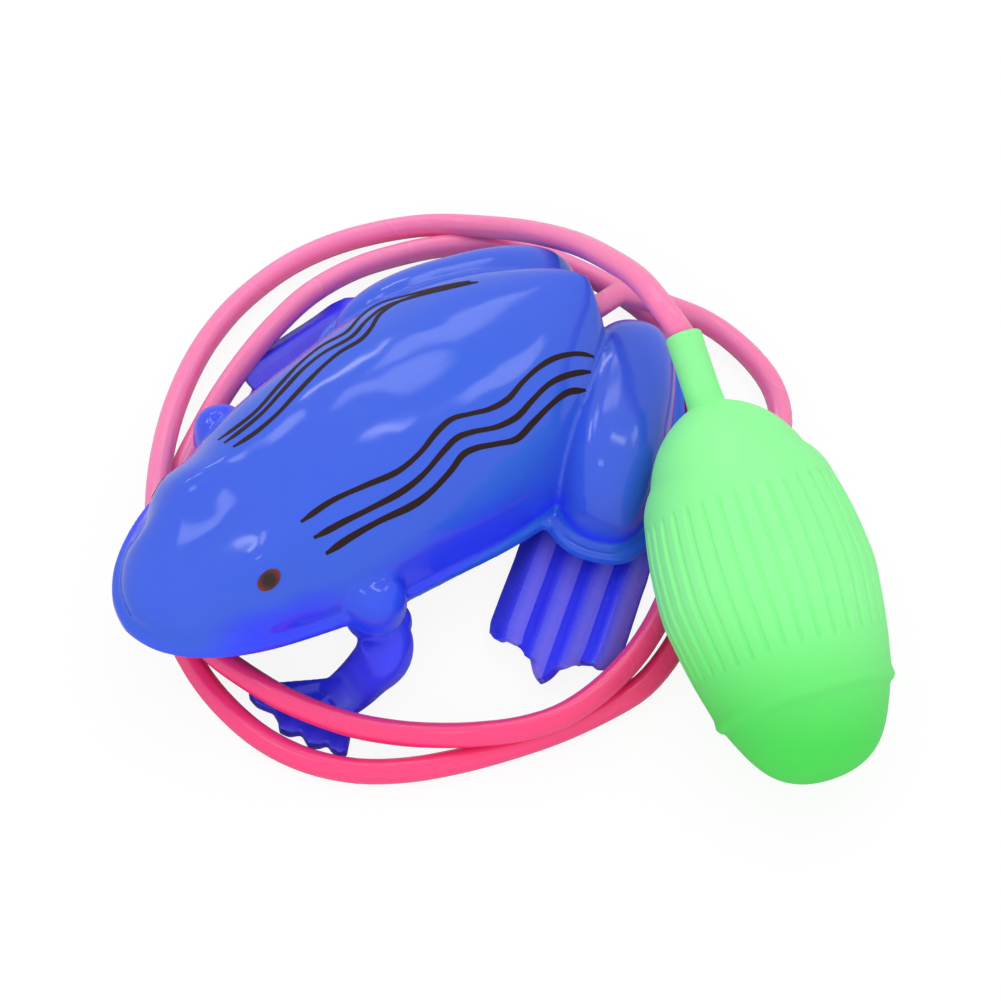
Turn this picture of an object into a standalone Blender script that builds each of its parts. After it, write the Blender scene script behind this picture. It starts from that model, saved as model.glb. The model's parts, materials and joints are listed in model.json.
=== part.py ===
"""Jumping frog toy: a hollow plastic frog that a squeeze bulb and a hose make hop.

The bulb blows air through the hose into a folded bladder under the frog. The bladder
pushes the kick plate down about a pin across the rump, and the two webbed hind legs
riveted to it kick against the ground. The front legs swing on upright pegs.

Units are metres, +Z is up, the frog looks towards -Y and its left side is +X.
"""

import math

import bmesh
import bpy
from mathutils import Matrix, Vector

# How the frog stands: its rim plane is tipped nose up and passes over the origin
PITCH = math.radians(7.5)
RIM_HEIGHT = 0.0120
OVERRUN = 0.0010
FIT_GAP = 0.0003
RUNNING_GAP = 0.0001

# Body shell, measured without its lip
BODY_LENGTH = 0.1042
RUMP_Y = 0.0531
NOSE_Y = RUMP_Y - BODY_LENGTH
BODY_MIDDLE_Y = RUMP_Y - BODY_LENGTH / 2
BODY_HALF_WIDTH = 0.0266
BODY_HEIGHT = 0.0235
WALL = 0.0016
LIP_WIDTH = 0.0014
LIP_HEIGHT = 0.0018
BODY_ROUNDNESS = 2.3
BODY_WIDTH_SHARES = (0.0, 0.23, 0.45, 0.63, 0.765, 0.88, 0.945, 1.0, 0.985, 0.84, 0.62, 0.38, 0.06)
BODY_HEIGHT_SHARES = (0.16, 0.27, 0.40, 0.56, 0.735, 0.90, 0.98, 1.0, 0.99, 0.98, 0.96, 0.94, 0.91)
END_SHARE = 0.03
BODY_RINGS = 26
BODY_SEGMENTS = 20

# Lobes on the shell: thigh, shoulder and eye. A setback is from the nose or the rump, whichever is nearer
LEFT_THIGH_X = 0.0243
LEFT_THIGH_SETBACK = 0.0111
LEFT_THIGH_TURN = math.radians(-50.0)
RIGHT_THIGH_X = -0.0178
RIGHT_THIGH_SETBACK = 0.0171
RIGHT_THIGH_TURN = math.radians(72.0)
THIGH_PLACES = {
    "left": (LEFT_THIGH_X, RUMP_Y - LEFT_THIGH_SETBACK),
    "right": (RIGHT_THIGH_X, RUMP_Y - RIGHT_THIGH_SETBACK),
}
THIGH_TURNS = {"left": LEFT_THIGH_TURN, "right": RIGHT_THIGH_TURN}
THIGH_LENGTH = 0.0440
THIGH_WIDTH = 0.0184
THIGH_HEIGHT = 0.0180
THIGH_LIP_WIDTH = 0.0026
SHOULDER_X = 0.0228
SHOULDER_AHEAD = 0.0154
SHOULDER_Y = BODY_MIDDLE_Y - SHOULDER_AHEAD
SHOULDER_TURN = math.radians(22.0)
SHOULDER_LENGTH = 0.0124
SHOULDER_WIDTH = 0.0094
SHOULDER_HEIGHT = 0.0105
LOBE_ROUNDNESS = 2.5
LOBE_FULLNESS = 3.1
LOBE_RINGS = 7
LOBE_SEGMENTS = 28
EYE_X = 0.0112
EYE_SETBACK = 0.0186
EYE_Y = NOSE_Y + EYE_SETBACK
EYE_Z = 0.0085
EYE_WIDTH = 0.0100
EYE_LENGTH = 0.0150
EYE_HEIGHT = 0.0122

# Belly plate, its screws and the posts that they enter
BELLY_RISE = 0.0030
BELLY_THICKNESS = 0.0015
BELLY_GAP = 0.0006
BELLY_FIRST_SHARE = 0.14
BELLY_LAST_SHARE = 0.92
BELLY_STEPS = 18
FRONT_SCREW_X = 0.0100
FRONT_SCREW_SETBACK = 0.0211
REAR_SCREW_X = 0.0170
REAR_SCREW_SETBACK = 0.0451
SCREW_PLACES = (
    ("front", FRONT_SCREW_X, NOSE_Y + FRONT_SCREW_SETBACK),
    ("rear", REAR_SCREW_X, RUMP_Y - REAR_SCREW_SETBACK),
)
POST_RADIUS = 0.0026
SCREW_RADIUS = 0.0009
SCREW_LENGTH = 0.0060
SCREW_HEAD_RADIUS = 0.0017
SCREW_HEAD_HEIGHT = 0.0011

# Front legs, which turn on an upright peg under each shoulder
RIGHT_ARM_TURN = math.radians(130.0)
ARM_REST_TURNS = {"left": 0.0, "right": RIGHT_ARM_TURN}
ARM_PEG_RADIUS = 0.0016
ARM_PEG_HEIGHT = 0.0060
ARM_BOSS_RADIUS = 0.0027
ARM_DISC_RADIUS = 0.0040
ARM_DISC_TOP = 0.0128
ARM_DISC_HEIGHT = 0.0030
ARM_REACH = 0.0120
ARM_RISE = 0.0140
ARM_WIDTH = 0.0096
ARM_PATH_SHARES = (
    (0.02, 0.00, 0.80, 0.90, 0.60),
    (0.20, 0.04, 0.62, 1.00, 0.70),
    (0.40, 0.26, 0.46, 1.06, 0.82),
    (0.32, 0.62, 0.26, 0.94, 0.60),
    (0.25, 1.00, 0.125, 0.90, 0.34),
)
HAND_X = 0.0018
HAND_Y = -0.0090
HAND_LENGTH = 0.0170
HAND_THICKNESS = 0.0022
HAND_TOES = ((-32.0, 1.00), (-15.0, 0.95), (6.0, 0.88), (38.0, 0.80))
HAND_TOE_HALF_TURN = 5.0
HAND_WEB_SHARE = 0.80
HAND_HEEL_SHARE = 0.24

# Kick plate and the pin that it turns on
HINGE_SETBACK = 0.0091
HINGE_Y = RUMP_Y - HINGE_SETBACK
HINGE_Z = 0.0053
PIN_RADIUS = 0.0009
PIN_LENGTH = 0.0370
BARREL_RADIUS = 0.0022
BARREL_LENGTH = 0.0306
EAR_RADIUS = 0.0026
EAR_THICKNESS = 0.0024
EAR_BORE_RADIUS = 0.00105
KICK_THICKNESS = 0.0016
KICK_BOTTOM = 0.0034
KICK_BAR_LENGTH = 0.0620
KICK_BAR_WIDTH = 0.0076
KICK_TONGUE_WIDTH = 0.0260
KICK_TONGUE_REACH = 0.0320
KICK_CLEAR = 0.0030

# Hind legs, each held to the kick plate by a rivet
HIP_X = 0.0272
HIP_Y = HINGE_Y - KICK_CLEAR - KICK_BAR_WIDTH / 2
LEFT_FOOT_TURN = math.radians(31.0)
RIGHT_FOOT_TURN = math.radians(-2.0)
FOOT_TURNS = {"left": LEFT_FOOT_TURN, "right": RIGHT_FOOT_TURN}
LEG_PLATE_BOTTOM = 0.0013
LEG_THICKNESS = 0.0014
FOOT_HALF_WIDTH = 0.0118
FOOT_LENGTH = 0.0415
FOOT_WIDTH_SHARES = (
    (-0.097, 0.20), (-0.06, 0.34), (0.0, 0.39), (0.13, 0.62), (0.28, 0.93),
    (0.36, 0.97), (0.55, 0.96), (0.78, 0.98), (1.0, 1.0),
)
FOOT_EDGE_SHARES = (0.87, 0.885, 0.875, 0.955, 1.0, 0.955, 0.875, 0.885, 0.87)
FOOT_PLEAT_START_SHARE = 0.30
PLEAT_HEIGHT = 0.0017
RIVET_RADIUS = 0.0015
RIVET_HEAD_RADIUS = 0.0030
RIVET_HEAD_HEIGHT = 0.0008

# Air bladder, folded between the kick plate and the belly plate
BLADDER_WIDTH = 0.0240
BLADDER_LENGTH = 0.0240
BLADDER_SETBACK = 0.0050
BLADDER_REAR_Y = HINGE_Y - BLADDER_SETBACK
BLADDER_FRONT_Y = BLADDER_REAR_Y - BLADDER_LENGTH
BLADDER_CORNER = 0.0040
BLADDER_NECK_SETBACK = 0.0140
BLADDER_NECK_Y = HINGE_Y - BLADDER_NECK_SETBACK
BLADDER_NECK_RADIUS = 0.0026
BLADDER_NECK_BORE = 0.0018
BLADDER_NECK_TOP = 0.0062
BLADDER_FOLD_SHARES = (0.93, 1.0, 0.90, 1.0, 0.90, 1.0, 0.93)
COLLAR_RADIUS = 0.0039
COLLAR_HEIGHT = 0.0016
PLATE_HOLE_RADIUS = 0.0032
ELBOW_RADIUS = 0.0015
ELBOW_BEND = 0.0030
ELBOW_TOP = 0.0092
ELBOW_DEPTH = 0.0042
INLET_BOSS_RADIUS = 0.0046
INLET_BOSS_DEPTH = 0.0028
INLET_BOSS_PROUD = 0.0015
INLET_BOSS_INNER_Y = RUMP_Y - INLET_BOSS_DEPTH
INLET_BOSS_OUTER_Y = RUMP_Y + INLET_BOSS_PROUD
ELBOW_PROUD = 0.0016
ELBOW_REAR_Y = INLET_BOSS_OUTER_Y + ELBOW_PROUD
GROMMET_RADIUS = 0.0034
GROMMET_GROOVE_RADIUS = 0.0026
GROMMET_FLANGE = 0.0010

# Squeeze bulb, which lies on its ridge with the neck raised
BULB_X = 0.0687
BULB_SETBACK = 0.0166
BULB_Y = RUMP_Y - BULB_SETBACK
BULB_TILT = math.radians(18.0)
BULB_HEADING = math.radians(157.0)
BULB_RADIUS = 0.0193
BULB_NECK_LENGTH = 0.0486
BULB_BODY_LENGTH = 0.0342
BULB_SEGMENTS = 40
BULB_PROFILE_SHARES = (
    (1.0, 0.171), (0.735, 0.176), (0.718, 0.29), (0.700, 0.40), (0.660, 0.535), (0.610, 0.635),
    (0.550, 0.715), (0.480, 0.79), (0.455, 0.83), (0.440, 0.885), (0.365, 0.925), (0.215, 0.975),
    (0.0, 1.0), (-0.215, 0.965), (-0.350, 0.905), (-0.470, 0.845), (-0.510, 0.865), (-0.560, 0.845),
    (-0.590, 0.785), (-0.700, 0.69), (-0.810, 0.575), (-0.910, 0.41), (-0.975, 0.22), (-1.0, 0.0),
)
BULB_HOLLOW_SHARES = (
    (0.640, 0.0), (0.628, 0.50), (0.500, 0.715), (0.380, 0.835), (0.200, 0.89), (0.0, 0.91),
    (-0.220, 0.875), (-0.450, 0.77), (-0.640, 0.61), (-0.790, 0.42), (-0.880, 0.21), (-0.910, 0.0),
)
AIR_PASSAGE_RADIUS = 0.0010

# Hose: its route is chosen by hand along the floor, round the frog and back to its rump
HOSE_RADIUS = 0.00225
HOSE_INSERT = 0.0080
HOSE_RUN_IN = 0.0070
HOSE_STEP_DIAMETERS = 2.1
HOSE_ROUTE = (
    (0.0202, 0.0552, 0.0380), (0.0110, 0.0580, 0.0345), (0.0016, 0.0602, 0.0285), (-0.0100, 0.0620, 0.0205),
    (-0.0222, 0.0613, 0.0125), (-0.0330, 0.0577, 0.0065), (-0.0417, 0.0520, 0.0032), (-0.0475, 0.0436, 0.0024),
    (-0.0513, 0.0340, 0.0024), (-0.0530, 0.0240, 0.0024), (-0.0524, 0.0132, 0.0024), (-0.0502, 0.0045, 0.0024),
    (-0.0468, -0.0032, 0.0025), (-0.0416, -0.0112, 0.0032), (-0.0352, -0.0186, 0.0049), (-0.0278, -0.0256, 0.0066),
    (-0.0200, -0.0318, 0.0072), (-0.0120, -0.0368, 0.0072), (-0.0030, -0.0396, 0.0070), (0.0070, -0.0402, 0.0070),
    (0.0182, -0.0378, 0.0066), (0.0256, -0.0350, 0.0060), (0.0340, -0.0304, 0.0056), (0.0408, -0.0250, 0.0054),
    (0.0462, -0.0198, 0.0058), (0.0508, -0.0148, 0.0067), (0.0550, -0.0086, 0.0070), (0.0578, -0.0014, 0.0070),
    (0.0584, 0.0070, 0.0068), (0.0571, 0.0160, 0.0062), (0.0545, 0.0240, 0.0058), (0.0505, 0.0320, 0.0048),
    (0.0452, 0.0402, 0.0032), (0.0388, 0.0486, 0.0024), (0.0312, 0.0566, 0.0024), (0.0232, 0.0632, 0.0024),
    (0.0140, 0.0680, 0.0024), (0.0042, 0.0704, 0.0024), (-0.0050, 0.0698, 0.0024), (-0.0135, 0.0675, 0.0024),
    (-0.0222, 0.0640, 0.0024), (-0.0300, 0.0590, 0.0024), (-0.0362, 0.0515, 0.0024), (-0.0405, 0.0430, 0.0026),
    (-0.0428, 0.0330, 0.0042), (-0.0428, 0.0225, 0.0058), (-0.0412, 0.0130, 0.0062), (-0.0388, 0.0040, 0.0060),
    (-0.0363, -0.0044, 0.0044), (-0.0332, -0.0122, 0.0027), (-0.0290, -0.0200, 0.0024), (-0.0236, -0.0272, 0.0024),
    (-0.0170, -0.0335, 0.0024), (-0.0090, -0.0388, 0.0024), (0.0000, -0.0421, 0.0024), (0.0110, -0.0440, 0.0024),
    (0.0225, -0.0434, 0.0024), (0.0318, -0.0404, 0.0024), (0.0396, -0.0352, 0.0024), (0.0456, -0.0284, 0.0024),
    (0.0504, -0.0204, 0.0024), (0.0545, -0.0115, 0.0024), (0.0580, -0.0020, 0.0024), (0.0604, 0.0080, 0.0024),
    (0.0611, 0.0150, 0.0024), (0.0598, 0.0220, 0.0024), (0.0568, 0.0305, 0.0024), (0.0536, 0.0390, 0.0024),
    (0.0502, 0.0480, 0.0024), (0.0462, 0.0575, 0.0024), (0.0418, 0.0662, 0.0024), (0.0362, 0.0733, 0.0024),
    (0.0300, 0.0770, 0.0024), (0.0230, 0.0785, 0.0024), (0.0155, 0.0783, 0.0027), (0.0102, 0.0764, 0.0040),
    (0.0068, 0.0732, 0.0064), (0.0034, 0.0694, 0.0092),
)

COLOURS = {
    "shell_blue": (0.075, 0.155, 0.80, 1.0, 0.22, 0.0),
    "belly_blue": (0.060, 0.120, 0.62, 1.0, 0.40, 0.0),
    "leg_blue": (0.075, 0.085, 0.80, 1.0, 0.28, 0.0),
    "steel": (0.60, 0.60, 0.62, 1.0, 0.30, 1.0),
    "sac_clear": (0.80, 0.82, 0.84, 1.0, 0.35, 0.0),
    "nylon_white": (0.82, 0.82, 0.80, 1.0, 0.45, 0.0),
    "grommet_black": (0.03, 0.03, 0.03, 1.0, 0.60, 0.0),
    "bulb_green": (0.22, 0.88, 0.26, 1.0, 0.40, 0.0),
    "hose_pink": (0.95, 0.12, 0.30, 1.0, 0.25, 0.0),
}

SIDES = (("left", 1.0), ("right", -1.0))


def clear_scene():
    for item in list(bpy.data.objects):
        bpy.data.objects.remove(item, do_unlink=True)


def make_material(name):
    red, green, blue, alpha, roughness, metallic = COLOURS[name]
    material = bpy.data.materials.new(name)
    material.use_nodes = True
    shader = material.node_tree.nodes["Principled BSDF"]
    shader.inputs["Base Color"].default_value = (red, green, blue, alpha)
    shader.inputs["Roughness"].default_value = roughness
    shader.inputs["Metallic"].default_value = metallic
    return material


def add_empty(name, parent=None, location=(0, 0, 0), rotation=(0, 0, 0)):
    empty = bpy.data.objects.new(name, None)
    bpy.context.scene.collection.objects.link(empty)
    empty.parent = parent
    empty.location = location
    empty.rotation_euler = rotation
    return empty


def add_object(name, bm, parent, colour=None):
    """Turn a bmesh into an object. With no colour it is a form that only cuts or joins."""
    bmesh.ops.recalc_face_normals(bm, faces=bm.faces)
    mesh = bpy.data.meshes.new(name)
    bm.to_mesh(mesh)
    bm.free()
    item = bpy.data.objects.new(name, mesh)
    bpy.context.scene.collection.objects.link(item)
    item.parent = parent
    if colour is None:
        item.hide_render = True
        item.display_type = "WIRE"
        return item
    mesh.materials.append(make_material(colour))
    mesh.shade_smooth()
    mesh.set_sharp_from_angle(angle=math.radians(40.0))
    return item


def apply_boolean(item, others, operation):
    for other in others:
        modifier = item.modifiers.new(other.name, "BOOLEAN")
        modifier.operation = operation
        modifier.object = other
        modifier.solver = "EXACT"


def loft(rings):
    """A closed solid through rings of equally many points, each end capped flat."""
    bm = bmesh.new()
    made = [[bm.verts.new(point) for point in ring] for ring in rings]
    for lower, upper in zip(made, made[1:]):
        for index in range(len(lower)):
            after = (index + 1) % len(lower)
            bm.faces.new((lower[index], lower[after], upper[after], upper[index]))
    bm.faces.new(made[0])
    bm.faces.new(made[-1])
    return bm


def extrusion(outline, bottom, top):
    return loft([[Vector((x, y, z)) for x, y in outline] for z in (bottom, top)])


def turned(profile, segments, turn=0.0):
    """Revolve (radius, height) points about Z. A point of zero radius closes the end."""
    bm = bmesh.new()
    rings = []
    for radius, height in profile:
        if radius == 0:
            rings.append([bm.verts.new((0, 0, height))])
            continue
        angles = [turn + math.tau * step / segments for step in range(segments)]
        rings.append([bm.verts.new((radius * math.cos(a), radius * math.sin(a), height)) for a in angles])
    for first, second in zip(rings, rings[1:] + rings[:1]):
        if len(first) == 1 and len(second) == 1:
            continue
        for index in range(segments):
            after = (index + 1) % segments
            if len(first) == 1:
                bm.faces.new((first[0], second[index], second[after]))
            elif len(second) == 1:
                bm.faces.new((first[index], first[after], second[0]))
            else:
                bm.faces.new((first[index], first[after], second[after], second[index]))
    return bm


def rod(radius, bottom, top, segments=20):
    return turned(((0, bottom), (radius, bottom), (radius, top), (0, top)), segments)


def placed(bm, location=(0, 0, 0), rotation=None):
    matrix = Matrix.Translation(location)
    if rotation is not None:
        matrix = matrix @ rotation
    bmesh.ops.transform(bm, matrix=matrix, verts=bm.verts)
    return bm


def along_x():
    return Matrix.Rotation(math.pi / 2, 4, "Y")


def along_y():
    return Matrix.Rotation(-math.pi / 2, 4, "X")


def share_at(shares, place):
    """Read an even table of shares at a place from 0 to 1, on a smooth curve through its rows."""
    steps = len(shares) - 1
    position = min(max(place, 0.0), 1.0) * steps
    low = min(int(position), steps - 1)
    t = position - low
    before = shares[max(low - 1, 0)]
    after = shares[min(low + 2, steps)]
    start, end = shares[low], shares[low + 1]
    return 0.5 * (
        2 * start
        + (end - before) * t
        + (2 * before - 5 * start + 4 * end - after) * t**2
        + (3 * start - before - 3 * end + after) * t**3
    )


def rounded(value, roundness):
    """One axis of a superellipse, from a sine or a cosine."""
    return math.copysign(abs(value) ** (2 / roundness), value)


def body_station(place, inset):
    """Half width, height and Y of the body's section at a place from nose to rump."""
    half_width = share_at(BODY_WIDTH_SHARES, place) * (BODY_HALF_WIDTH - inset)
    height = share_at(BODY_HEIGHT_SHARES, place) * (BODY_HEIGHT - inset)
    length = BODY_LENGTH - 2 * inset
    y = NOSE_Y + inset + length * (1 - math.cos(math.pi * place)) / 2
    return half_width, height, y


def body_places(rings):
    return [END_SHARE + (1 - 2 * END_SHARE) * step / (rings - 1) for step in range(rings)]


def body_form(name, frame, inset, floor):
    rings = []
    for place in body_places(BODY_RINGS):
        half_width, height, y = body_station(place, inset)
        ring = [Vector((half_width, y, floor))]
        for step in range(BODY_SEGMENTS + 1):
            angle = math.pi * step / BODY_SEGMENTS
            x = half_width * rounded(math.cos(angle), BODY_ROUNDNESS)
            ring.append(Vector((x, y, height * rounded(math.sin(angle), BODY_ROUNDNESS))))
        ring.append(Vector((-half_width, y, floor)))
        rings.append(ring)
    return add_object(name, loft(rings), frame)


def body_outline(inset, height_at, first, last, steps):
    """The plan of the body where its wall stands at a height, as points round both sides."""
    right = []
    for step in range(steps + 1):
        half_width, height, y = body_station(first + (last - first) * step / steps, inset)
        lean = max(1 - (height_at / height) ** BODY_ROUNDNESS, 0.0)
        right.append((half_width * lean ** (1 / BODY_ROUNDNESS), y))
    return right


def body_lip(frame):
    """The flange round the body's rim, as wide all round."""
    stations = [body_station(place, 0.0) for place in body_places(BODY_RINGS)]
    stretch = (BODY_LENGTH / 2 + LIP_WIDTH) / (BODY_LENGTH / 2)
    widen = (BODY_HALF_WIDTH + LIP_WIDTH) / BODY_HALF_WIDTH
    side = [(widen * x, BODY_MIDDLE_Y + stretch * (y - BODY_MIDDLE_Y)) for x, _, y in stations]
    outline = side + [(-x, y) for x, y in reversed(side)]
    return add_object("body_lip", extrusion(outline, -OVERRUN, LIP_HEIGHT), frame)


def lobe_ring(length, width, scale, z):
    ring = []
    for step in range(LOBE_SEGMENTS):
        angle = math.tau * step / LOBE_SEGMENTS
        x = length / 2 * scale * rounded(math.cos(angle), LOBE_ROUNDNESS)
        ring.append(Vector((x, width / 2 * scale * rounded(math.sin(angle), LOBE_ROUNDNESS), z)))
    return ring


def lobe_form(name, frame, centre, turn, size, inset, floor):
    """A rounded hump standing on the rim plane, or its hollow when it has an inset."""
    length, width, height = size
    length -= 2 * inset
    width -= 2 * inset
    height -= inset
    rings = [lobe_ring(length, width, 1.0, floor)]
    for step in range(LOBE_RINGS):
        angle = math.pi / 2 * step / LOBE_RINGS
        scale = rounded(math.cos(angle), LOBE_FULLNESS)
        rings.append(lobe_ring(length, width, scale, height * rounded(math.sin(angle), LOBE_FULLNESS)))
    rings.append(lobe_ring(length, width, END_SHARE, height))
    rotation = Matrix.Rotation(turn, 4, "Z")
    return add_object(name, placed(loft(rings), (centre[0], centre[1], 0), rotation), frame)


def lobe_lip(name, frame, centre, turn, size, lip_width):
    length, width, _ = size
    rings = [lobe_ring(length + 2 * lip_width, width + 2 * lip_width, 1.0, z) for z in (-OVERRUN, LIP_HEIGHT)]
    rotation = Matrix.Rotation(turn, 4, "Z")
    return add_object(name, placed(loft(rings), (centre[0], centre[1], 0), rotation), frame)


def shell_lobes():
    """Name, place, turn, size and lip width of each thigh and shoulder."""
    lobes = []
    for side, sign in SIDES:
        thigh = (THIGH_LENGTH, THIGH_WIDTH, THIGH_HEIGHT)
        lobes.append((f"thigh_{side}", THIGH_PLACES[side], THIGH_TURNS[side], thigh, THIGH_LIP_WIDTH))
        shoulder = (SHOULDER_LENGTH, SHOULDER_WIDTH, SHOULDER_HEIGHT)
        place = (sign * SHOULDER_X, SHOULDER_Y)
        lobes.append((f"shoulder_{side}", place, sign * SHOULDER_TURN, shoulder, LIP_WIDTH))
    return lobes


def rim_drop(y):
    """How high the frog's rim plane is over the floor at a place along it."""
    return RIM_HEIGHT - y * math.tan(PITCH)


def body_shell(frame, level):
    floor = -2 * OVERRUN
    shell = body_form("body_shell", frame, 0.0, floor)
    shell.hide_render = False
    shell.display_type = "TEXTURED"
    shell.data.materials.append(make_material("shell_blue"))
    shell.data.shade_smooth()
    outer = [body_lip(frame)]
    hollow = body_form("body_hollow", frame, WALL, 2 * floor)
    inner = []
    for name, centre, turn, size, lip_width in shell_lobes():
        outer.append(lobe_form(name, frame, centre, turn, size, 0.0, floor))
        outer.append(lobe_lip(f"{name}_lip", frame, centre, turn, size, lip_width))
        inner.append(lobe_form(f"{name}_hollow", frame, centre, turn, size, WALL, 2 * floor))
    for side, sign in SIDES:
        ball = turned_ball(EYE_WIDTH / 2, EYE_LENGTH / 2, EYE_HEIGHT / 2)
        outer.append(add_object(f"eye_{side}", placed(ball, (sign * EYE_X, EYE_Y, EYE_Z)), frame))
    outer.append(add_object("inlet_boss", inlet_boss(), frame))
    apply_boolean(shell, outer, "UNION")
    apply_boolean(hollow, inner, "UNION")

    posts = [add_object("inlet_boss_inside", inlet_boss(), frame)]
    bores = []
    post_bottom = BELLY_RISE + BELLY_THICKNESS + FIT_GAP
    for end, x, y in SCREW_PLACES:
        for side, sign in SIDES:
            post = placed(rod(POST_RADIUS, post_bottom, BODY_HEIGHT), (sign * x, y, 0))
            posts.append(add_object(f"post_{end}_{side}", post, frame))
            hole = rod(SCREW_RADIUS + RUNNING_GAP, 0, post_bottom + SCREW_LENGTH, 12)
            bores.append(add_object(f"post_hole_{end}_{side}", placed(hole, (sign * x, y, 0)), frame))
    for side, sign in SIDES:
        place = (sign * SHOULDER_X, SHOULDER_Y, ARM_DISC_TOP + FIT_GAP)
        boss = placed(rod(ARM_BOSS_RADIUS, 0, BODY_HEIGHT), place)
        posts.append(add_object(f"arm_boss_{side}", boss, level))
        depth = ARM_PEG_HEIGHT + FIT_GAP
        bore = placed(rod(ARM_PEG_RADIUS + RUNNING_GAP, -OVERRUN, depth), place)
        bores.append(add_object(f"arm_bore_{side}", bore, level))
    apply_boolean(hollow, posts, "DIFFERENCE")

    trim = cuboid(BODY_LENGTH, BODY_LENGTH * 2, -BODY_HEIGHT, 0, (0, BODY_MIDDLE_Y))
    cutters = [hollow, add_object("rim_trim", trim, frame)] + bores
    inlet_length = INLET_BOSS_OUTER_Y - INLET_BOSS_INNER_Y + 2 * OVERRUN
    inlet = rod(GROMMET_GROOVE_RADIUS + FIT_GAP, 0, inlet_length)
    inlet = placed(inlet, (0, INLET_BOSS_INNER_Y - OVERRUN, ELBOW_TOP), along_y())
    cutters.append(add_object("inlet_hole", inlet, frame))
    apply_boolean(shell, cutters, "DIFFERENCE")
    return shell


def inlet_boss():
    """The thick round seat of the hose inlet, flat inside and outside."""
    seat = rod(INLET_BOSS_RADIUS, 0, INLET_BOSS_OUTER_Y - INLET_BOSS_INNER_Y)
    return placed(seat, (0, INLET_BOSS_INNER_Y, ELBOW_TOP), along_y())


def turned_ball(half_x, half_y, half_z, rings=10, segments=20):
    profile = [(math.sin(math.pi * step / rings), -math.cos(math.pi * step / rings)) for step in range(rings + 1)]
    profile[0] = (0, -1.0)
    profile[-1] = (0, 1.0)
    ball = turned(profile, segments)
    bmesh.ops.transform(ball, matrix=Matrix.Diagonal((half_x, half_y, half_z, 1.0)), verts=ball.verts)
    return ball


def cuboid(width, length, bottom, top, centre=(0, 0)):
    x, y = centre
    corners = ((-width / 2, -length / 2), (width / 2, -length / 2), (width / 2, length / 2), (-width / 2, length / 2))
    return extrusion([(x + dx, y + dy) for dx, dy in corners], bottom, top)


def belly_plate(frame, level):
    top = BELLY_RISE + BELLY_THICKNESS
    side = body_outline(WALL, top, BELLY_FIRST_SHARE, BELLY_LAST_SHARE, BELLY_STEPS)
    side = [(x - BELLY_GAP, y) for x, y in side]
    outline = side + [(-x, y) for x, y in reversed(side)]
    plate = add_object("belly_plate", extrusion(outline, BELLY_RISE, top), frame, "belly_blue")
    ears = []
    bores = []
    inset = WALL + BELLY_GAP
    for side_name, sign in SIDES:
        length = THIGH_LENGTH - 2 * inset
        width = THIGH_WIDTH - 2 * inset
        rings = [lobe_ring(length, width, 1.0, z) for z in (BELLY_RISE, top)]
        x, y = THIGH_PLACES[side_name]
        wing = placed(loft(rings), (x, y, 0), Matrix.Rotation(THIGH_TURNS[side_name], 4, "Z"))
        ears.append(add_object(f"plate_wing_{side_name}", wing, frame))
        ears.append(add_object(f"ear_{side_name}", hinge_ear(sign), level))
    bore = placed(rod(EAR_BORE_RADIUS, -PIN_LENGTH, PIN_LENGTH), (0, HINGE_Y, HINGE_Z), along_x())
    bores.append(add_object("ear_bore", bore, level))
    neck_hole = placed(rod(PLATE_HOLE_RADIUS, 0, 2 * top), (0, BLADDER_NECK_Y, 0))
    bores.append(add_object("neck_hole", neck_hole, frame))
    for side_name, sign in SIDES:
        notch = placed(rod(ARM_BOSS_RADIUS + 2 * FIT_GAP, 0, BODY_HEIGHT), (sign * SHOULDER_X, SHOULDER_Y, 0))
        bores.append(add_object(f"boss_notch_{side_name}", notch, frame))
    for end, x, y in SCREW_PLACES:
        for side_name, sign in SIDES:
            hole = placed(rod(SCREW_RADIUS + FIT_GAP, 0, 2 * top, 12), (sign * x, y, 0))
            bores.append(add_object(f"plate_hole_{end}_{side_name}", hole, frame))
    apply_boolean(plate, ears, "UNION")
    apply_boolean(plate, bores, "DIFFERENCE")
    return plate


def hinge_ear(sign):
    """A hanging ear with a round lower end about the pin, reaching up into the belly plate."""
    top = rim_drop(HINGE_Y) + BELLY_RISE + BELLY_THICKNESS / 2
    outline = [(EAR_RADIUS, top - HINGE_Z)]
    for step in range(9):
        angle = -math.pi * step / 8
        outline.append((EAR_RADIUS * math.cos(angle), EAR_RADIUS * math.sin(angle)))
    outline.append((-EAR_RADIUS, top - HINGE_Z))
    inner = sign * (BARREL_LENGTH / 2 + FIT_GAP)
    outer = inner + sign * EAR_THICKNESS
    rings = [[Vector((x, HINGE_Y + y, HINGE_Z + z)) for y, z in outline] for x in (inner, outer)]
    return loft(rings)


def belly_screws(frame):
    for end, x, y in SCREW_PLACES:
        for side, sign in SIDES:
            shank_top = BELLY_RISE + BELLY_THICKNESS + SCREW_LENGTH - FIT_GAP
            head_top = BELLY_RISE - FIT_GAP / 2
            head_bottom = head_top - SCREW_HEAD_HEIGHT
            profile = (
                (0, head_bottom),
                (SCREW_HEAD_RADIUS - SCREW_HEAD_HEIGHT / 3, head_bottom),
                (SCREW_HEAD_RADIUS, head_bottom + SCREW_HEAD_HEIGHT / 2),
                (SCREW_HEAD_RADIUS, head_top),
                (SCREW_RADIUS, head_top),
                (SCREW_RADIUS, shank_top - SCREW_RADIUS),
                (0, shank_top),
            )
            screw = add_object(f"belly_screw_{end}_{side}", turned(profile, 12), frame, "steel")
            screw.location = (sign * x, y, 0)


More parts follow.
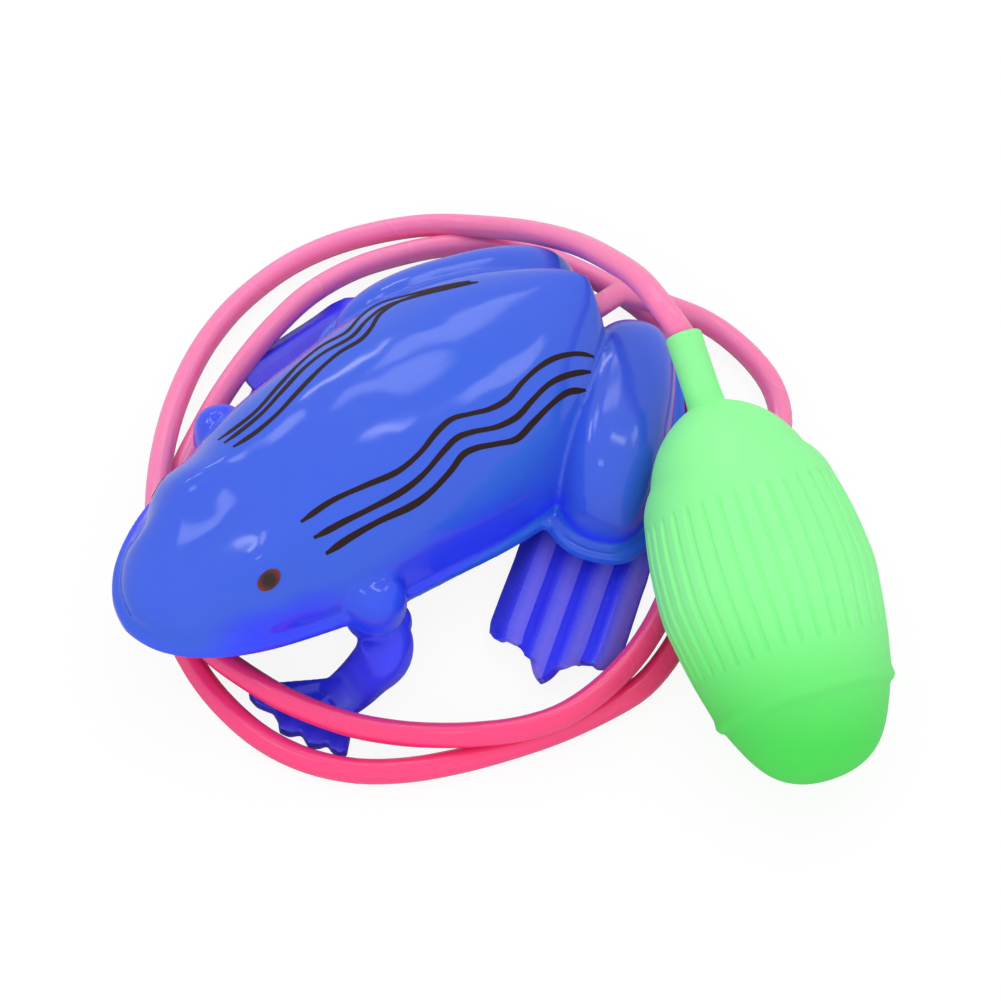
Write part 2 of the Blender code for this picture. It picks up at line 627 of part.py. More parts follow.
def fan_outline(toes, length, half_turn, web_share, heel_share):
    """A webbed hand or foot in plan: rounded toes with a scallop between each pair."""
    first, last = toes[0][0], toes[-1][0]
    points = [(first - half_turn, heel_share)]
    for index, (angle, share) in enumerate(toes):
        points.append((angle - half_turn, share * 0.95))
        points.append((angle, share))
        points.append((angle + half_turn, share * 0.95))
        if index + 1 < len(toes):
            after, after_share = toes[index + 1]
            points.append(((angle + after) / 2, (share + after_share) / 2 * web_share))
    points.append((last + half_turn, heel_share))
    outline = []
    for angle, share in points:
        turn = math.radians(angle)
        outline.append((length * share * math.sin(turn), -length * share * math.cos(turn)))
    return outline


def limb_rings(rows, segments=14):
    """Rings round a path, each square to it and kept level across."""
    rings = []
    for index, (centre, half_width, half_depth) in enumerate(rows):
        before = rows[max(index - 1, 0)][0]
        after = rows[min(index + 1, len(rows) - 1)][0]
        tangent = (after - before).normalized()
        across = Vector((1, 0, 0))
        across = (across - tangent * across.dot(tangent)).normalized()
        upright = tangent.cross(across)
        ring = []
        for step in range(segments):
            angle = math.tau * step / segments
            ring.append(centre + across * half_width * math.cos(angle) + upright * half_depth * math.sin(angle))
        rings.append(ring)
    return rings


def front_leg(side, sign, pivot):
    rows = []
    for outward, forward, up, wide, deep in ARM_PATH_SHARES:
        centre = Vector((outward * ARM_REACH, -forward * ARM_REACH, up * ARM_RISE))
        rows.append((centre, wide * ARM_WIDTH / 2, deep * ARM_WIDTH / 2))
    flip = Matrix.Diagonal((sign, 1.0, 1.0, 1.0))
    limb = loft(limb_rings(rows))
    bmesh.ops.transform(limb, matrix=flip, verts=limb.verts)
    leg = add_object(f"front_leg_{side}", limb, pivot, "leg_blue")
    outline = fan_outline(HAND_TOES, HAND_LENGTH, HAND_TOE_HALF_TURN, HAND_WEB_SHARE, HAND_HEEL_SHARE)
    hand = placed(extrusion(outline, 0, HAND_THICKNESS), (HAND_X, HAND_Y, 0))
    bmesh.ops.transform(hand, matrix=flip, verts=hand.verts)
    disc_bottom = ARM_DISC_TOP - ARM_DISC_HEIGHT
    peg_top = ARM_DISC_TOP + ARM_PEG_HEIGHT - FIT_GAP
    peg = turned(
        (
            (0, disc_bottom),
            (ARM_DISC_RADIUS, disc_bottom),
            (ARM_DISC_RADIUS, ARM_DISC_TOP),
            (ARM_PEG_RADIUS, ARM_DISC_TOP),
            (ARM_PEG_RADIUS, peg_top),
            (0, peg_top),
        ),
        20,
    )
    joined = [add_object(f"hand_{side}", hand, pivot), add_object(f"arm_peg_{side}", peg, pivot)]
    apply_boolean(leg, joined, "UNION")
    sole = cuboid(4 * ARM_REACH, 6 * ARM_REACH, -ARM_REACH, 0)
    apply_boolean(leg, [add_object(f"sole_trim_{side}", sole, pivot)], "DIFFERENCE")
    return leg


def kick_plate(hinge):
    """The plate that the bladder pushes: a barrel on the pin, a cross bar and a tongue."""
    bottom = KICK_BOTTOM - HINGE_Z
    top = bottom + KICK_THICKNESS
    barrel = placed(rod(BARREL_RADIUS, -BARREL_LENGTH / 2, BARREL_LENGTH / 2), (0, 0, 0), along_x())
    plate = add_object("kick_plate", barrel, hinge, "belly_blue")
    bar_rear = -KICK_CLEAR
    bar_front = bar_rear - KICK_BAR_WIDTH
    half_bar = KICK_BAR_LENGTH / 2
    half_tongue = KICK_TONGUE_WIDTH / 2
    half_barrel = BARREL_LENGTH / 2
    corner = KICK_BAR_WIDTH / 4
    tip = -KICK_TONGUE_REACH
    side = [
        (half_barrel, -BARREL_RADIUS / 2),
        (half_barrel, bar_rear),
        (half_bar - corner, bar_rear),
        (half_bar, bar_rear - corner),
        (half_bar, bar_front + corner),
        (half_bar - corner, bar_front),
        (half_tongue, bar_front),
        (half_tongue, tip + corner),
        (half_tongue - corner, tip),
    ]
    outline = side + [(-x, y) for x, y in reversed(side)]
    web = add_object("kick_web", extrusion(outline, bottom, top), hinge)
    apply_boolean(plate, [web], "UNION")
    bores = [placed(rod(PIN_RADIUS + RUNNING_GAP, -BARREL_LENGTH, BARREL_LENGTH), (0, 0, 0), along_x())]
    for _, sign in SIDES:
        hole = rod(RIVET_RADIUS + RUNNING_GAP, bottom - OVERRUN, top + OVERRUN)
        bores.append(placed(hole, (sign * HIP_X, HIP_Y - HINGE_Y, 0)))
    cutters = [add_object(f"kick_bore_{index}", bore, hinge) for index, bore in enumerate(bores)]
    apply_boolean(plate, cutters, "DIFFERENCE")
    return plate


def foot_half_width(along_share):
    rows = FOOT_WIDTH_SHARES
    for (low, wide), (high, wider) in zip(rows, rows[1:]):
        if along_share <= high:
            t = (along_share - low) / (high - low)
            return FOOT_HALF_WIDTH * (wide + (wider - wide) * t)
    return FOOT_HALF_WIDTH * rows[-1][1]


def hind_leg(side, pivot):
    """Leg plate and pleated webbed foot in one moulding, the toes towards -Y."""
    columns = len(FOOT_EDGE_SHARES)
    rows = [share for share, _ in FOOT_WIDTH_SHARES]
    bm = bmesh.new()
    grids = []
    for face in (0.0, LEG_THICKNESS):
        grid = []
        for row_index, row in enumerate(rows):
            line = []
            pleated = min(max((row - FOOT_PLEAT_START_SHARE) / (1 - FOOT_PLEAT_START_SHARE) * 3, 0.0), 1.0)
            for column in range(columns):
                across = 2 * column / (columns - 1) - 1
                reach = row * FOOT_EDGE_SHARES[column] if row > 0 else row * (1 - 0.3 * across**2)
                ridge = PLEAT_HEIGHT if column % 2 else 0.0
                base = LEG_PLATE_BOTTOM * (1 - pleated) + ridge * pleated
                x = across * foot_half_width(row)
                line.append(bm.verts.new((x, -reach * FOOT_LENGTH, base + face)))
            grid.append(line)
        grids.append(grid)
    lower, upper = grids
    last_row, last_column = len(rows) - 1, columns - 1
    for row in range(last_row):
        for column in range(last_column):
            for grid in grids:
                bm.faces.new(
                    (grid[row][column], grid[row][column + 1], grid[row + 1][column + 1], grid[row + 1][column])
                )
        for edge in (0, last_column):
            bm.faces.new((lower[row][edge], lower[row + 1][edge], upper[row + 1][edge], upper[row][edge]))
    for column in range(last_column):
        for edge in (0, last_row):
            bm.faces.new((lower[edge][column], lower[edge][column + 1], upper[edge][column + 1], upper[edge][column]))
    leg = add_object(f"hind_leg_{side}", bm, pivot, "leg_blue")
    top = LEG_PLATE_BOTTOM + LEG_THICKNESS
    hole = rod(RIVET_RADIUS + RUNNING_GAP, -OVERRUN, top + OVERRUN)
    apply_boolean(leg, [add_object(f"hip_hole_{side}", hole, pivot)], "DIFFERENCE")
    return leg


def leg_rivet(side, pivot):
    lower = LEG_PLATE_BOTTOM - FIT_GAP / 2
    upper = KICK_BOTTOM + KICK_THICKNESS + FIT_GAP / 2
    profile = (
        (0, lower - RIVET_HEAD_HEIGHT),
        (RIVET_HEAD_RADIUS - RIVET_HEAD_HEIGHT / 2, lower - RIVET_HEAD_HEIGHT),
        (RIVET_HEAD_RADIUS, lower),
        (RIVET_RADIUS, lower),
        (RIVET_RADIUS, upper),
        (RIVET_HEAD_RADIUS, upper),
        (RIVET_HEAD_RADIUS - RIVET_HEAD_HEIGHT / 2, upper + RIVET_HEAD_HEIGHT),
        (0, upper + RIVET_HEAD_HEIGHT),
    )
    return add_object(f"leg_rivet_{side}", turned(profile, 20), pivot, "nylon_white")


def hinge_pin(hinge):
    pin = placed(rod(PIN_RADIUS, -PIN_LENGTH / 2, PIN_LENGTH / 2, 16), (0, 0, 0), along_x())
    return add_object("hinge_pin", pin, hinge, "steel")


def rounded_rectangle(width, front, rear, corner):
    half = width / 2 - corner
    places = ((half, rear - corner), (-half, rear - corner), (-half, front + corner), (half, front + corner))
    outline = []
    for quarter, (x, y) in enumerate(places):
        for step in range(4):
            angle = math.pi / 2 * (quarter + step / 3)
            outline.append((x + corner * math.cos(angle), y + corner * math.sin(angle)))
    return outline


def air_bladder(level, frame):
    """Flat folds that fill the wedge between the kick plate and the tipped belly plate."""
    bottom = KICK_BOTTOM + KICK_THICKNESS + FIT_GAP
    middle = (BLADDER_FRONT_Y + BLADDER_REAR_Y) / 2
    outline = rounded_rectangle(BLADDER_WIDTH, BLADDER_FRONT_Y, BLADDER_REAR_Y, BLADDER_CORNER)
    steps = len(BLADDER_FOLD_SHARES) - 1
    rings = []
    for index, share in enumerate(BLADDER_FOLD_SHARES):
        ring = []
        for x, y in outline:
            folded_y = middle + (y - middle) * share
            top = rim_drop(folded_y) + BELLY_RISE / math.cos(PITCH) - 2 * FIT_GAP
            ring.append(Vector((x * share, folded_y, bottom + (top - bottom) * index / steps)))
        rings.append(ring)
    sac = add_object("air_bladder", loft(rings), level, "sac_clear")
    neck_bottom = BELLY_RISE - BELLY_THICKNESS
    neck = placed(rod(BLADDER_NECK_RADIUS, neck_bottom, BLADDER_NECK_TOP), (0, BLADDER_NECK_Y, 0))
    apply_boolean(sac, [add_object("bladder_neck", neck, frame)], "UNION")
    bore_bottom = ELBOW_TOP - ELBOW_BEND - ELBOW_DEPTH - FIT_GAP
    bore = placed(rod(BLADDER_NECK_BORE, bore_bottom, 2 * BLADDER_NECK_TOP), (0, BLADDER_NECK_Y, 0))
    apply_boolean(sac, [add_object("neck_bore", bore, frame)], "DIFFERENCE")
    return sac


def bladder_collar(frame):
    bottom = BELLY_RISE + BELLY_THICKNESS + FIT_GAP
    inner = BLADDER_NECK_RADIUS + FIT_GAP / 2
    top = bottom + COLLAR_HEIGHT
    profile = ((inner, bottom), (COLLAR_RADIUS, bottom), (COLLAR_RADIUS, top), (inner, top))
    collar = add_object("bladder_collar", turned(profile, 24), frame, "nylon_white")
    collar.location = (0, BLADDER_NECK_Y, 0)
    return collar


def swept_tube(name, points, radius, parent, colour, resolution=2):
    curve = bpy.data.curves.new(name, "CURVE")
    curve.dimensions = "3D"
    curve.bevel_depth = radius
    curve.bevel_resolution = resolution
    curve.use_fill_caps = True
    spline = curve.splines.new("POLY")
    spline.points.add(len(points) - 1)
    for target, point in zip(spline.points, points):
        target.co = (point[0], point[1], point[2], 1.0)
    curve.materials.append(make_material(colour))
    tube = bpy.data.objects.new(name, curve)
    bpy.context.scene.collection.objects.link(tube)
    tube.parent = parent
    return tube


def inlet_elbow(frame):
    """Stiff pipe from the rump to the bladder's neck, with one bend down."""
    points = [(0, ELBOW_REAR_Y, ELBOW_TOP)]
    centre_y = BLADDER_NECK_Y + ELBOW_BEND
    centre_z = ELBOW_TOP - ELBOW_BEND
    for step in range(7):
        angle = math.pi / 2 * (1 + step / 6)
        points.append((0, centre_y + ELBOW_BEND * math.cos(angle), centre_z + ELBOW_BEND * math.sin(angle)))
    points.append((0, BLADDER_NECK_Y, centre_z - ELBOW_DEPTH))
    return swept_tube("inlet_elbow", points, ELBOW_RADIUS, frame, "nylon_white")


def inlet_grommet(frame):
    bore = ELBOW_RADIUS + RUNNING_GAP
    inside = INLET_BOSS_INNER_Y - FIT_GAP
    outside = INLET_BOSS_OUTER_Y + FIT_GAP
    profile = (
        (bore, inside - GROMMET_FLANGE),
        (GROMMET_RADIUS, inside - GROMMET_FLANGE),
        (GROMMET_RADIUS, inside),
        (GROMMET_GROOVE_RADIUS, inside),
        (GROMMET_GROOVE_RADIUS, outside),
        (GROMMET_RADIUS, outside),
        (GROMMET_RADIUS, outside + GROMMET_FLANGE),
        (bore, outside + GROMMET_FLANGE),
    )
    grommet = placed(turned(profile, 24), (0, 0, ELBOW_TOP), along_y())
    return add_object("inlet_grommet", grommet, frame, "grommet_black")


def bulb_point(share):
    """Distance along the bulb's axis from its middle, towards the neck when positive."""
    return share * (BULB_NECK_LENGTH if share > 0 else BULB_BODY_LENGTH)


def bulb_rest_height():
    """Height of the bulb's middle over the floor when its ridge touches it."""
    drops = []
    for share, radius in BULB_PROFILE_SHARES:
        drops.append(radius * BULB_RADIUS * math.cos(BULB_TILT) - bulb_point(share) * math.sin(BULB_TILT))
    return max(drops)


def squeeze_bulb(cradle):
    profile = [(radius * BULB_RADIUS, bulb_point(share)) for share, radius in BULB_PROFILE_SHARES]
    profile = [(0, BULB_NECK_LENGTH)] + profile
    profile[-1] = (0, profile[-1][1])
    bulb = add_object("squeeze_bulb", turned(profile, BULB_SEGMENTS, math.pi), cradle, "bulb_green")
    hollow = [(radius * BULB_RADIUS, bulb_point(share)) for share, radius in BULB_HOLLOW_SHARES]
    socket_bottom = BULB_NECK_LENGTH - HOSE_INSERT - FIT_GAP
    socket = rod(HOSE_RADIUS + FIT_GAP, socket_bottom, BULB_NECK_LENGTH + OVERRUN, 16)
    passage = rod(AIR_PASSAGE_RADIUS, 0, BULB_NECK_LENGTH, 12)
    cutters = [
        add_object("bulb_hollow", turned(hollow, BULB_SEGMENTS // 2, math.pi), cradle),
        add_object("bulb_socket", socket, cradle),
        add_object("bulb_passage", passage, cradle),
    ]
    apply_boolean(bulb, cutters, "DIFFERENCE")
    return bulb


def smooth_route(route, step):
    """Points an even step apart on a smooth curve through the route's own points."""
    dense = []
    for index in range(len(route) - 1):
        before = route[max(index - 1, 0)]
        start, end = route[index], route[index + 1]
        after = route[min(index + 2, len(route) - 1)]
        for part in range(12):
            t = part / 12
            dense.append(
                0.5
                * (
                    2 * start
                    + (end - before) * t
                    + (2 * before - 5 * start + 4 * end - after) * t**2
                    + (3 * start - before - 3 * end + after) * t**3
                )
            )
    dense.append(route[-1])
    total = sum((b - a).length for a, b in zip(dense, dense[1:]))
    count = round(total / step)
    even = [dense[0]]
    walked = 0.0
    for a, b in zip(dense, dense[1:]):
        length = (b - a).length
        while len(even) < count and walked + length >= total * len(even) / count:
            share = (total * len(even) / count - walked) / length
            even.append(a.lerp(b, share))
        walked += length
    even.append(dense[-1])
    return even, total


def air_hose(level, cradle, frame):
    neck = cradle.matrix_local @ Vector((0, 0, BULB_NECK_LENGTH))
    inside = cradle.matrix_local @ Vector((0, 0, BULB_NECK_LENGTH - HOSE_INSERT))
    inlet = frame.matrix_local @ Vector((0, ELBOW_REAR_Y + FIT_GAP, ELBOW_TOP))
    run_in = frame.matrix_local @ Vector((0, ELBOW_REAR_Y + HOSE_RUN_IN, ELBOW_TOP))
    route = [neck] + [Vector(point) for point in HOSE_ROUTE] + [run_in]
    points, length = smooth_route(route, HOSE_STEP_DIAMETERS * 2 * HOSE_RADIUS)
    length += (neck - inside).length + (run_in - inlet).length
    print("hose length", round(length, 4), "m,", len(points) + 2, "points")
    return swept_tube("air_hose", [inside] + points + [inlet], HOSE_RADIUS, level, "hose_pink")


def stand_on_origin(level, cords):
    """Move the toy so that the origin is under the middle of all but its cords."""
    bpy.context.view_layer.update()
    graph = bpy.context.evaluated_depsgraph_get()
    corners = []
    for item in bpy.data.objects:
        if item.type in ("MESH", "CURVE") and not item.hide_render and item not in cords:
            solid = item.evaluated_get(graph)
            mesh = solid.to_mesh()
            corners.extend(item.matrix_world @ vertex.co for vertex in mesh.vertices)
            solid.to_mesh_clear()
    low = [min(corner[axis] for corner in corners) for axis in range(3)]
    high = [max(corner[axis] for corner in corners) for axis in range(3)]
    level.location = (-(low[0] + high[0]) / 2, -(low[1] + high[1]) / 2, -low[2])


def main():
    clear_scene()
    level = add_empty("toy")
    frame = add_empty("frog", level, (0, 0, RIM_HEIGHT), (-PITCH, 0, 0))
    hinge = add_empty("kick_hinge", level, (0, HINGE_Y, HINGE_Z))
    body_shell(frame, level)
    belly_plate(frame, level)
    belly_screws(frame)
    kick_plate(hinge)
    hinge_pin(hinge)
    for side, sign in SIDES:
        shoulder = add_empty(
            f"shoulder_pivot_{side}", level, (sign * SHOULDER_X, SHOULDER_Y, 0), (0, 0, ARM_REST_TURNS[side])
        )
        front_leg(side, sign, shoulder)
        hip_place = (sign * HIP_X, HIP_Y - HINGE_Y, -HINGE_Z)
        hip = add_empty(f"hip_pivot_{side}", hinge, hip_place, (0, 0, FOOT_TURNS[side]))
        hind_leg(side, hip)
        leg_rivet(side, hip)
    air_bladder(level, frame)
    bladder_collar(frame)
    inlet_elbow(frame)
    inlet_grommet(frame)
    cradle = add_empty(
        "bulb_cradle",
        level,
        (BULB_X, BULB_Y, bulb_rest_height()),
        (0, math.pi / 2 - BULB_TILT, BULB_HEADING),
    )
    squeeze_bulb(cradle)
    bpy.context.view_layer.update()
    hose = air_hose(level, cradle, frame)
    stand_on_origin(level, [hose])


main()
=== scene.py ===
"""Looks of a jumping frog toy: glossy skin, painted stripes, webbed legs, air hose and squeeze bulb.

The frame gives the working parts, in metres with +Z up. The frog looks towards -Y and the
bulb lies on its left, towards +X. Each operator makes one piece, or one group of like pieces.
"""

import json
import math

import bpy
from bpy.props import FloatProperty, IntProperty, PointerProperty, StringProperty
from mathutils import Euler, Matrix, Vector
from mathutils.bvhtree import BVHTree


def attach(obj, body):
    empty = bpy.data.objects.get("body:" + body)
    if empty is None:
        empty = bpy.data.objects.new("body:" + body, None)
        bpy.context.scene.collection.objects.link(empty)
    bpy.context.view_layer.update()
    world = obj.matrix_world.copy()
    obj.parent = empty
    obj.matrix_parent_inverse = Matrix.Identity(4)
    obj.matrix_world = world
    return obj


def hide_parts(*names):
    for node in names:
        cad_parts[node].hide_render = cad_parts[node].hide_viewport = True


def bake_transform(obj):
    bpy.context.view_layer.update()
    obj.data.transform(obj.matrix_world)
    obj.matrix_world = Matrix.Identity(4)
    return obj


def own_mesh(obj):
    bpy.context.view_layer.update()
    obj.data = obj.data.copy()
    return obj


bl_info = {
    "name": "Jumping frog toy",
    "version": (1, 0, 0),
    "blender": (4, 5, 0),
    "location": "View3D > Sidebar > Frog",
    "description": "Models the pieces of a jumping frog toy round its working parts",
    "category": "Object",
}

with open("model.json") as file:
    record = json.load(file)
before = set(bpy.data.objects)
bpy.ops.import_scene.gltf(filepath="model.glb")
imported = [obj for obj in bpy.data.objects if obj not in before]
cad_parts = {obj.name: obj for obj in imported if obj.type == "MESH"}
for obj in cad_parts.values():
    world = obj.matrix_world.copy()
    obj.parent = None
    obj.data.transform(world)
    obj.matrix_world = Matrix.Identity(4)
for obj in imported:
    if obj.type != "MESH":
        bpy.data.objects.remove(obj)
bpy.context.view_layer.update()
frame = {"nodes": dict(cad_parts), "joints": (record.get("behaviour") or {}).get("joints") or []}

# Where the toy stands in the frame, from its kick hinge
KICK_JOINT = next(joint for joint in frame["joints"] if joint["name"] == "hind_leg_kick")
HINGE_Y = 0.0440
HINGE_Z = 0.0053
TOY = Vector(KICK_JOINT["pos_m"]) - Vector((0, HINGE_Y, HINGE_Z))
PITCH = math.radians(7.5)
RIM_HEIGHT = 0.0120
FROG = Matrix.Translation(TOY + Vector((0, 0, RIM_HEIGHT))) @ Matrix.Rotation(-PITCH, 4, "X")
LEVEL = Matrix.Translation(TOY)
SIDES = (("left", 1.0), ("right", -1.0))

# The photograph's camera, with its aim in the toy's own coordinates and its sensor in millimetres
IMAGE_SIDE = 1001
SENSOR = 36.0
CAMERA_AZIMUTH = math.radians(49.0)
CAMERA_ELEVATION = math.radians(59.0)
CAMERA_DISTANCE = 0.470
CAMERA_FOCAL_PIXELS = 2632.0
CAMERA_AIM = (0.0233, 0.01399, 0.02018)

# Stage: soft panels by name, place from the camera's aim, width and height, and the paper floor
PANELS = (
    ("key", (-0.25, 0.55, 1.00), 1.00, 0.80),
    ("fill", (0.80, -0.66, 0.50), 0.90, 0.60),
)
FLOOR_SIZE = 6.0
FLOOR_DROP = 0.0002
FLOOR_GLOW = 0.90
FLOOR_BOUNCE = "#D4D4D4"

# Frog body: shares along the body from nose to rump, as its outline was measured
BODY_LENGTH = 0.1042
NOSE_Y = -0.0511
BODY_HALF_WIDTH = 0.0266
BODY_HEIGHT = 0.0235
WALL = 0.0016
LIP_WIDTH = 0.0014
LIP_HEIGHT = 0.0018
BODY_ROUNDNESS = 2.3
BODY_WIDTH_SHARES = (0.0, 0.23, 0.45, 0.63, 0.765, 0.88, 0.945, 1.0, 0.985, 0.84, 0.62, 0.38, 0.06)
BODY_HEIGHT_SHARES = (0.16, 0.27, 0.40, 0.56, 0.735, 0.90, 0.98, 1.0, 0.99, 0.98, 0.96, 0.94, 0.91)
BELOW_RIM = 0.0030
THIGH_PLACES = {"left": (0.0229, 0.0439), "right": (-0.0172, 0.0379)}
THIGH_TURNS = {"left": math.radians(-50.0), "right": math.radians(72.0)}
THIGH_SIZES = {"left": (0.0482, 0.0184, 0.0180), "right": (0.0502, 0.0184, 0.0165)}
THIGH_LIP_WIDTH = 0.0026
SHOULDER_X = 0.0228
SHOULDER_Y = -0.0144
SHOULDER_TURN = math.radians(22.0)
CAP_SHIFTS = {"left": (-0.0008, -0.0012), "right": (0.0008, 0.0)}
CAP_SIZES = {"left": (0.0128, 0.0106, 0.0082), "right": (0.0128, 0.0102, 0.0072)}
LOBE_ROUNDNESS = 2.5
LOBE_FULLNESS = 3.1
BODY_SIDE_STRETCH = 1.25
BODY_DETAIL, LOBE_DETAIL = (128, 128), (72, 48)
HOLLOW_BODY_DETAIL, HOLLOW_LOBE_DETAIL = (64, 64), (40, 24)
ARM_BOSS_RADIUS = 0.0027
ARM_BOSS_BOTTOM = 0.0131
ARM_BOSS_HEIGHT = 0.0066
PEG_GAP = 0.0001

# Painted shade on the skin, in violet: all up to the first height over the rim and gone at the
# second, with the lip left plain below its own two, and in spots, by place and reach
VIOLET_SHADE_AXIS = (0.0, -0.06, 1.0)
VIOLET_SHADE_SPAN = (0.0016, 0.0052)
LIP_SPAN = (0.0008, 0.0020)
VIOLET_SHADE_SPOTS = (
    ((0.0262, -0.0010, 0.0020), (0.0110, 0.0280, 0.0125)),
    ((0.0188, -0.0340, 0.0040), (0.0095, 0.0170, 0.0062)),
)

# Inlet: where the hose goes into the rump
INLET_Z = 0.0092
INLET_BOSS_RADIUS = 0.0046
INLET_BOSS_SPAN = (0.0503, 0.0546)
INLET_BORE_RADIUS = 0.0029

# Soft forms on the head: place on the frog, reach each way, and lift
HEAD_FORMS = (
    (0.0108, -0.0318, 0.0046, 0.0072, 0.0026),
    (0.0000, -0.0340, 0.0045, 0.0090, -0.0010),
    (0.0138, -0.0392, 0.0030, 0.0046, -0.0011),
    (0.0180, -0.0250, 0.0030, 0.0060, -0.0005),
)

# Forms on the cheeks: a place on the frog, reach and push outwards
CHEEK_FORMS = (
    (0.0172, -0.0325, 0.0095, 0.0058, 0.0010),
    (0.0162, -0.0400, 0.0050, 0.0052, -0.0009),
)

# Painted marks, picked along their lines in the photograph. A stripe narrows to a share of its
# width at its ends and wavers a little in width, as a brush leaves it
STRIPE_WIDTH = 0.00092
STRIPE_PAINT = 0.00006
STRIPE_TIP_SHARE = 0.55
STRIPE_WOBBLE = 0.10
STRIPE_WOBBLE_TURN = 0.21
STRIPE_PIXELS = {
    "left": (
        (
            (301, 522), (330, 502), (367, 485), (397, 472), (420, 453), (437, 432), (452, 419), (470, 414),
            (490, 409), (508, 399), (522, 383), (537, 369), (553, 359), (573, 354), (594, 357),
        ),
        (
            (314, 538), (340, 524), (370, 509), (400, 493), (423, 475), (443, 452), (457, 438), (473, 432),
            (497, 427), (517, 417), (532, 401), (547, 386), (563, 377), (591, 372),
        ),
        (
            (326, 554), (350, 538), (380, 521), (410, 507), (430, 493), (450, 472), (463, 455), (477, 448),
            (497, 444), (517, 439), (533, 423), (550, 406), (567, 393), (586, 390),
        ),
    ),
    "right": (
        (
            (218, 440), (239, 425), (259, 408), (281, 383), (301, 362), (321, 346), (346, 332), (361, 316),
            (378, 304), (404, 296), (436, 288), (470, 281),
        ),
        (
            (224, 443), (243, 429), (263, 412), (284, 389), (303, 369), (323, 353), (351, 337), (366, 321),
            (384, 307), (410, 298), (441, 290), (474, 282),
        ),
        (
            (233, 447), (256, 432), (277, 414), (292, 398), (306, 383), (322, 367), (340, 352), (360, 340),
            (371, 328), (380, 314), (398, 302), (432, 291), (478, 282),
        ),
    ),
}
EYE_PIXEL = (269, 580)
EYE_PAINT_HALF = (0.0023, 0.0016)
EYE_PUPIL_REACH = 0.00207
EYE_TOE_OUT = 0.25
FAR_EYE = (-0.0190, -0.0325, 0.0062)

# Small lamps: where each one's glint falls in the photograph, and the lamp's width and height.
# The skin's slope there is the mean of a few pixels round it
GLINT_DISTANCE = 1.0
GLINT_SAMPLES = ((0, 0), (6, 0), (-6, 0), (0, 6), (0, -6))
GLINTS = (
    (430, 338, 0.24, 0.17),
    (378, 385, 0.30, 0.12),
    (342, 372, 0.24, 0.06),
    (392, 425, 0.22, 0.08),
    (488, 385, 0.16, 0.20),
    (197, 476, 0.20, 0.14),
    (203, 530, 0.14, 0.22),
    (252, 545, 0.20, 0.08),
)

# Front leg: an upright peg, an elbow and a four-toed hand
ARM_REST_TURNS = {"left": 0.0, "right": math.radians(130.0)}
ARM_REACH = 0.0120
ARM_RISE = 0.0140
ARM_WIDTH = 0.0096
ARM_ROUNDNESS = 2.8
ARM_STEPS = 28
ARM_PATH_SHARES = (
    (0.02, 0.00, 0.80, 0.90, 0.60),
    (0.20, 0.04, 0.62, 1.00, 0.70),
    (0.40, 0.26, 0.46, 1.06, 0.82),
    (0.38, 0.56, 0.26, 0.96, 0.60),
    (0.36, 0.88, 0.125, 0.94, 0.34),
    (0.34, 1.22, 0.095, 0.90, 0.20),
)
ARM_SLEEVE_SIZE = (0.0120, 0.0092, 0.0036)
ARM_DISC_RADIUS = 0.0040
ARM_DISC_SPAN = (0.0098, 0.0128)
ARM_PEG_RADIUS = 0.0016
ARM_PEG_TOP = 0.0185
HAND_PLACE = (0.0033, -0.0073)
HAND_LENGTH = 0.0182
HAND_THICKNESS = 0.0022
HAND_TOES = ((-30.0, 1.12), (-4.0, 0.98), (16.0, 0.90), (36.0, 0.88))
HAND_TOE_HALF_TURN = 6.0
HAND_TOE_SIDE_SHARE = 0.95
HAND_WEB_SHARE = 0.89
HAND_HEEL_SHARE = 0.24
HAND_RIB_RISE = 3
HAND_RIB_DELAY = 0.4
LEG_SECOND_COLOUR = "#3A40FA"

# Hind foot: a flat leg that opens into a pleated web
HIP_PLACE = (0.0272, 0.0372)
FOOT_TURNS = {"left": math.radians(31.0), "right": math.radians(-2.0)}
FOOT_HALF_WIDTH = 0.0118
FOOT_LENGTH = 0.0415
LEG_PLATE_BOTTOM = 0.0013
LEG_THICKNESS = 0.0014
PLEAT_HEIGHT = 0.0026
FOOT_WIDTH_SHARES = (
    (-0.097, 0.2), (-0.06, 0.34), (0.0, 0.39), (0.13, 0.62), (0.28, 0.93), (0.36, 0.97), (0.55, 0.96),
    (0.78, 0.97), (0.93, 0.97), (1.0, 0.92),
)
FOOT_EDGE_SHARES = (0.835, 0.880, 0.873, 0.866, 0.905, 0.978, 1.0, 0.978, 0.905, 0.866, 0.873, 0.880, 0.835)
PLEATS = 4
PLEAT_START_SHARE = 0.20
PLEAT_RUN_SHARE = 0.30
HEEL_ROUND = 0.3

# Painted light on the webs: where across a pleat its lighter colour comes and goes, each as start and run in
# half pleats
PLEAT_PAINTED_LIGHT_RISE = (0.9, 0.3)
PLEAT_PAINTED_LIGHT_FALL = (1.8, 0.2)

